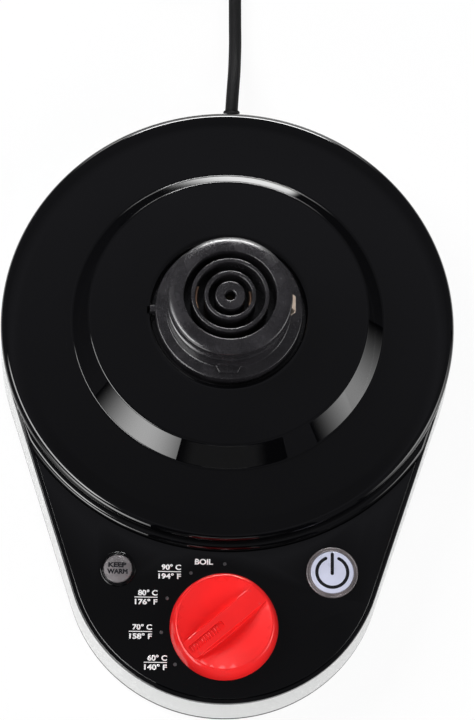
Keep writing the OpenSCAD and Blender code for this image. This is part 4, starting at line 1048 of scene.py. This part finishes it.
@add(PIECES)
class KETTLEBASE_OT_buttons(bpy.types.Operator):
    """Model the two buttons with their rings and signs"""
    bl_idname = "kettlebase.buttons"
    bl_label = "Buttons"

    def execute(self, context):
        b, colours = settings().buttons, settings().colours
        lavender = finish("power_face", colours.power_face, 0.3, spread=0.06, cloud=130.0,
                          fixed={"Coat Weight": 0.3})
        grey = finish("warm_face", colours.warm_face, 0.28, spread=0.25, cloud=170.0, fixed={"Coat Weight": 0.4})
        for key, x, ring, face, look in (("power", b.power_x, b.power_ring, b.power_face, lavender),
                                         ("warm", b.warm_x, b.warm_ring, b.warm_face, grey)):
            self.ring(key, (x, b.row_y), ring, face)
            self.cap(key, (x, b.row_y), face, look)
        self.power_sign(b)
        self.warm_sign(b)
        return {"FINISHED"}

    def ring(self, key, at, outer, face):
        """A ring round the cap: two beads with a groove between them."""
        low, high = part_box(key + "_bezel")
        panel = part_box("control_panel")[1].z
        inner = face + 0.08 * MM
        step = (outer - inner) / 3
        groove = high.z - 0.28 * MM
        bm = bmesh.new()
        turned(bm, [(inner, low.z), (inner + MM, low.z), (inner + MM, panel), (outer, panel), (outer, high.z),
                    (outer - step, high.z), (outer - 1.3 * step, groove), (inner + step, groove),
                    (inner + 0.7 * step, high.z), (inner, high.z)], at, 80)
        round_rings(bm, at, (outer, high.z, 0.4 * MM, 4), (outer - step, high.z, 0.1 * MM, 2),
                    (inner + 0.7 * step, high.z, 0.1 * MM, 2))
        look = clear_ring() if key == "power" else gloss_black()
        new_piece(key + "_ring", bm, look, "base", [key + "_bezel"])

    def cap(self, key, at, face, look):
        """A cap with a soft edge, a stem and the flange that keeps it in."""
        low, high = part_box(key + "_button")
        flange = 0.7 * MM
        bm = bmesh.new()
        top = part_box(key + "_bezel")[0].z - 0.1 * MM
        profile = [(0, low.z), (2 * MM, low.z), (2 * MM, top - 0.8 * MM), (face + flange, top - 0.8 * MM),
                   (face + flange, top), (face, top)]
        if key == "power":
            turned(bm, profile + [(face, high.z), (0, high.z)], at, 80)
            round_rings(bm, at, (face, high.z, 0.5 * MM, 4))
        else:
            turned(bm, profile + [(face, high.z - 0.6 * MM), (face - 0.35 * MM, high.z - 0.2 * MM),
                                  (face - MM, high.z - 0.1 * MM), (face - 1.25 * MM, high.z), (0, high.z)], at, 80)
        new_piece(key + "_cap", bm, look, key + "_key", [key + "_button"])

    def print_look(self):
        return finish("sign_black", settings().colours.sign_black, 0.7, cloud=300.0, bump=0.02,
                      fixed={"Specular IOR Level": 0.1})

    def power_sign(self, b):
        """The usual on and off sign: an open ring and a bar, both with round ends."""
        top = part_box("power_button")[1].z
        gap = math.radians(25)
        half = b.sign_w / 2
        low, high = top - 0.06 * MM, top + 0.03 * MM
        bm = bmesh.new()
        inner, outer = b.sign_r - half, b.sign_r + half
        swept(bm, [(inner, low), (outer, low), (outer, high), (inner, high)], (0, 0), math.pi / 2 + gap,
              math.tau - 2 * gap, 64)
        bar_low, bar_high = -0.5 * MM, 6.8 * MM
        box_at(bm, (-half, bar_low, low), (half, bar_high, high))
        ends = [(0, bar_low), (0, bar_high)]
        ends += [(b.sign_r * math.sin(s * gap), b.sign_r * math.cos(gap)) for s in (-1, 1)]
        for x, y in ends:
            made = bmesh.ops.create_cone(bm, cap_ends=True, segments=24, radius1=half, radius2=half,
                                         depth=high - low)
            bmesh.ops.translate(bm, vec=(x, y, (low + high) / 2), verts=made["verts"])
        bmesh.ops.translate(bm, vec=(b.power_x, b.row_y, 0), verts=bm.verts)
        face_outwards(bm)
        new_piece("power_sign", bm, self.print_look(), "power_key")

    def warm_sign(self, b):
        """Two short words for the keep warm function."""
        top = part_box("warm_button")[1].z
        bm = bmesh.new()
        height, weight = 1.85 * MM, 0.05
        for word, x, y, width in (("KEEP", -3.5, 0.45, 6.6), ("WARM", -3.9, -2.0, 7.5)):
            add_words(bm, word, (b.warm_x + x * MM, b.row_y + y * MM, top), width * MM, height, weight)
        new_piece("warm_sign", bm, self.print_look(), "warm_key", smooth=60)


@add(PIECES)
class KETTLEBASE_OT_numbers(bpy.types.Operator):
    """Print the temperatures on the inlay plate"""
    bl_idname = "kettlebase.numbers"
    bl_label = "Dial numbers"

    # Each scale: numbers above and below a line, and the right end of that line, in millimetres
    scales = (("90\u00b0 C", "194\u00b0 F", -15.93, -66.1), ("80\u00b0 C", "176\u00b0 F", -24.32, -75.8),
              ("70\u00b0 C", "158\u00b0 F", -26.07, -88.58), ("60\u00b0 C", "140\u00b0 F", -20.43, -99.9))
    upper_width, lower_width, line_width, cap, gap = 7.1, 8.2, 8.4, 2.15, 0.62

    def execute(self, context):
        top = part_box("control_panel")[1].z
        white = finish("print_white", settings().colours.print_white, 0.45, spread=0.03, cloud=200.0, bump=0.02)
        bm = bmesh.new()
        cap = self.cap * MM
        for upper, lower, x, y in self.scales:
            rows = ((upper, self.upper_width, y + self.gap), (lower, self.lower_width, y - self.gap - self.cap))
            for text, width, foot in rows:
                add_words(bm, text, ((x - width) * MM, foot * MM, top), width * MM, cap)
            box_at(bm, ((x - self.line_width) * MM, (y - 0.15) * MM, top - 0.02 * MM),
                   (x * MM, (y + 0.15) * MM, top + 0.03 * MM))
        add_words(bm, "BOIL", (-10.9 * MM, -63.3 * MM, top), 6.6 * MM, cap)
        new_piece("dial_numbers", bm, white, "base", smooth=60)
        return {"FINISHED"}


@add(PIECES)
class KETTLEBASE_OT_inner_parts(bpy.types.Operator):
    """Finish the pieces inside the casing"""
    bl_idname = "kettlebase.inner_parts"
    bl_label = "Inner parts"

    # Finish, colour, gloss, metal share and CAD nodes
    looks = (
        ("screw_steel", None, 0.3, 1.0, ("housing_screws", "platform_screws", "socket_screws", "control_screws",
                                         "power_screws", "clamp_screws", "selector_shaft")),
        ("led_cream", (0.75, 0.72, 0.6), 0.35, 0.0, ("indicator_leds",)),
        ("switch_black", (0.03, 0.03, 0.032), 0.45, 0.0, ("selector_switch", "power_switch", "warm_switch")),
        ("plunger_white", (0.8, 0.78, 0.72), 0.45, 0.0, ("power_plunger", "warm_plunger", "board_connectors")),
        ("board_green", (0.02, 0.14, 0.06), 0.3, 0.0, ("control_board", "power_board")),
        ("relay_blue", (0.03, 0.13, 0.4), 0.3, 0.0, ("relay",)),
        ("transformer_tape", (0.6, 0.47, 0.15), 0.4, 0.0, ("transformer",)),
        ("capacitor_sleeve", (0.03, 0.05, 0.1), 0.3, 0.0, ("capacitor",)),
        ("terminal_green", (0.05, 0.3, 0.1), 0.35, 0.0, ("terminal_block",)),
        ("wire_insulation", (0.3, 0.12, 0.06), 0.4, 0.0, ("mains_wires", "socket_wires", "ribbon_cable")),
    )

    def execute(self, context):
        for name, rgb, rough, metal, nodes in self.looks:
            look = finish(name, rgb or settings().colours.steel, rough, cloud=150.0, bump=0.05, marks=0.15,
                          fixed={"Metallic": metal})
            give_finish(look, *nodes)
        return {"FINISHED"}


@add(PIECES)
class KETTLEBASE_OT_stage(bpy.types.Operator):
    """Set up the floor, the soft lights, the dark card and the surroundings"""
    bl_idname = "kettlebase.stage"
    bl_label = "Stage"

    # Each lamp: its direction round the base from +X and above the table, in degrees, its size and brightness
    lamps = (("key_light", 150, 42, 0.9, 6.4), ("fill_light", 325, 36, 0.9, 4.0),
             ("front_light", 262, 22, 0.6, 4.0))
    # Each bright screen that the gloss mirrors: its span round the base and above the table, in degrees, its
    # brightness at both ends of the first span, and the share of both spans over which it fades out
    screens = (("low_left_screen", 196, 258, -6, 17, 8.2, 8.2, 0.5, 0.12),
               ("right_screen", -42, 18, -6, 18, 5.0, 5.0, 0.5, 0.12),
               ("left_screen", 164, 228, 36, 56, 9.0, 14.0, 0.12, 0.2),
               ("rear_strip", 70, 107, 29, 36.5, 48.0, 48.0, 0.1, 0.2),
               ("rear_screen", 58, 122, 2, 26, 4.0, 4.0, 0.2, 0.2))
    # The surroundings' colour at rising heights
    sky = ((0.0, (0.12, 0.12, 0.13, 1)), (0.86, (0.12, 0.12, 0.13, 1)), (0.925, (0.2, 0.2, 0.22, 1)),
           (0.97, (0.1, 0.1, 0.105, 1)))
    front_card = ((-0.139, -0.31, 0.001), (0.194, -0.30, 0.35))
    low_card = (0.18, 9.0, 0.001)
    distance = 1.4

    def execute(self, context):
        context.scene.view_settings.view_transform = "Standard"
        self.floor()
        self.cards()
        for lamp in self.lamps:
            self.softbox(*lamp)
        for screen in self.screens:
            self.screen(*screen)
        self.surroundings()
        return {"FINISHED"}

    def stand(self, name, bm, material, place=Matrix(), mirrored=False):
        """Put a piece of the stage in its place; a mirrored one is seen by reflections alone."""
        mesh = to_mesh(name, bm)
        mesh.materials.append(material)
        piece = bpy.data.objects.new(name, mesh)
        piece.matrix_world = place
        if mirrored:
            piece.visible_camera = piece.visible_diffuse = piece.visible_shadow = False
        bpy.context.scene.collection.objects.link(piece)

    def floor(self):
        """A white table that glows towards the camera and keeps a faint shadow."""
        bm = bmesh.new()
        bmesh.ops.create_grid(bm, x_segments=2, y_segments=2, size=6.0)
        material = bpy.data.materials.new("floor_white")
        tree = empty_tree(material)
        paint = add_node(tree, "BsdfDiffuse", {"Color": (0.95, 0.95, 0.95, 1)}).outputs["BSDF"]
        glow = add_node(tree, "Emission").outputs["Emission"]
        rays = add_node(tree, "LightPath").outputs
        mirrored = math_node(tree, "MAXIMUM", rays["Is Glossy Ray"], rays["Is Transmission Ray"])
        seen = math_node(tree, "MAXIMUM", rays["Is Camera Ray"], mirrored)
        share = math_node(tree, "MULTIPLY", seen, settings().studio.floor_share)
        mix = add_node(tree, "MixShader", {"Fac": share, 1: paint, 2: glow}).outputs["Shader"]
        sheen = add_node(tree, "Fresnel").outputs["Fac"]
        shine = add_node(tree, "BsdfGlossy", {"Color": sheen, "Roughness": 0.06}).outputs["BSDF"]
        sheet = add_node(tree, "AddShader", {0: mix, 1: shine}).outputs["Shader"]
        add_node(tree, "OutputMaterial", {"Surface": sheet})
        self.stand("studio_floor", bm, material)

    def cards(self):
        """Black cards that only reflections see: one stands in front, one lies round the base."""
        bm = bmesh.new()
        box_at(bm, *self.front_card)
        axis_y = settings().platform.axis_y
        inner, outer, level = self.low_card
        start = [bm.verts.new((r, axis_y, level)) for r in (inner, outer)]
        bmesh.ops.spin(bm, geom=start + [bm.edges.new(start)], cent=(0, axis_y, 0), axis=(0, 0, 1),
                       dvec=(0, 0, 0), angle=math.tau, steps=64, use_merge=True, use_duplicate=False)
        self.stand("dark_cards", bm, finish("card_black", (0.004, 0.004, 0.004), 0.05), mirrored=True)

    def aim(self, around, above):
        """A direction from its angle round the base and its angle above the table."""
        around, above = math.radians(around), math.radians(above)
        return Vector((math.cos(above) * math.cos(around), math.cos(above) * math.sin(around), math.sin(above)))

    def softbox(self, name, around, above, size, brightness):
        """A square soft lamp, which the gloss doesn't mirror."""
        data = bpy.data.lights.new(name, "AREA")
        data.size = size
        data.energy = brightness * math.pi * size * size
        lamp = bpy.data.objects.new(name, data)
        lamp.location = self.aim(around, above) * self.distance
        lamp.rotation_euler = self.aim(around, above).to_track_quat("Z", "Y").to_euler()
        lamp.visible_camera = lamp.visible_glossy = False
        bpy.context.scene.collection.objects.link(lamp)

    def screen(self, name, start, stop, low, high, first, last, side_fade, end_fade):
        """A glowing screen with soft edges that fills a span of directions and that only reflections see."""
        around, above = math.radians(stop - start), math.radians(high - low)
        wide = 2 * self.distance * math.cos(math.radians(low + high) / 2) * math.tan(around / 2)
        tall = 2 * self.distance * math.tan(above / 2)
        aim = self.aim((start + stop) / 2, (low + high) / 2)
        turn = aim.to_track_quat("Z", "Y").to_matrix().to_4x4()
        place = Matrix.Translation(aim * self.distance) @ turn @ Matrix.Diagonal((wide, tall, 1, 1))
        bm = bmesh.new()
        bmesh.ops.create_grid(bm, x_segments=1, y_segments=1, size=0.5)
        material = bpy.data.materials.new(name + "_glow")
        tree = empty_tree(material)
        spot = add_node(tree, "SeparateXYZ", {"Vector": add_node(tree, "TexCoord").outputs["Object"]}).outputs
        strength = ramp(tree, spot["X"], -0.5, 0.5, first, last)
        for axis, fade in (("X", side_fade), ("Y", end_fade)):
            rise = ramp(tree, spot[axis], -0.5, fade - 0.5, 0, 1, "SMOOTHSTEP")
            fall = ramp(tree, spot[axis], 0.5 - fade, 0.5, 1, 0, "SMOOTHSTEP")
            strength = math_node(tree, "MULTIPLY", strength, math_node(tree, "MULTIPLY", rise, fall))
        glow = add_node(tree, "Emission", {"Strength": strength}).outputs["Emission"]
        add_node(tree, "OutputMaterial", {"Surface": glow})
        self.stand(name, bm, material, place, mirrored=True)

    def surroundings(self):
        """Dim surroundings, a little lighter high up."""
        world = bpy.context.scene.world or bpy.data.worlds.new("studio")
        bpy.context.scene.world = world
        tree = empty_tree(world)
        spot = add_node(tree, "SeparateXYZ", {"Vector": add_node(tree, "TexCoord").outputs["Generated"]}).outputs
        tone = add_node(tree, "ValToRGB", {"Fac": spot["Z"]})
        stops = tone.color_ramp.elements
        stops.remove(stops[1])
        stops[0].position, stops[0].color = self.sky[0]
        for height, rgb in self.sky[1:]:
            stops.new(height).color = rgb
        air = add_node(tree, "Background", {"Color": tone.outputs["Color"]}).outputs["Background"]
        add_node(tree, "OutputWorld", {"Surface": air})


class KETTLEBASE_PT_pieces(bpy.types.Panel):
    """Lists the pieces of the kettle base"""
    bl_idname = "KETTLEBASE_PT_pieces"
    bl_label = "Kettle base"
    bl_space_type = "VIEW_3D"
    bl_region_type = "UI"
    bl_category = "Kettle base"

    def draw(self, context):
        layout = self.layout
        for piece in PIECES:
            layout.operator(piece.bl_idname)
        for part in ("platform", "casing", "socket", "dial", "buttons", "cord", "colours", "studio"):
            box = layout.box()
            box.label(text=part.capitalize())
            group = getattr(context.scene.kettle_base, part)
            for name in group.__annotations__:
                box.prop(group, name)


GROUPS = (PlatformSizes, CasingSizes, SocketSizes, DialSizes, ButtonSizes, CordSizes, FinishColours,
          StudioSettings, KettleBaseSettings)


def register():
    for cls in (*GROUPS, *PIECES, KETTLEBASE_PT_pieces):
        bpy.utils.register_class(cls)
    bpy.types.Scene.kettle_base = PointerProperty(type=KettleBaseSettings)


def unregister():
    del bpy.types.Scene.kettle_base
    for cls in (KETTLEBASE_PT_pieces, *reversed(PIECES), *reversed(GROUPS)):
        bpy.utils.unregister_class(cls)


def main():
    register()
    for piece in PIECES:
        group, action = piece.bl_idname.split(".")
        getattr(getattr(bpy.ops, group), action)()


if __name__ == "__main__":
    main()
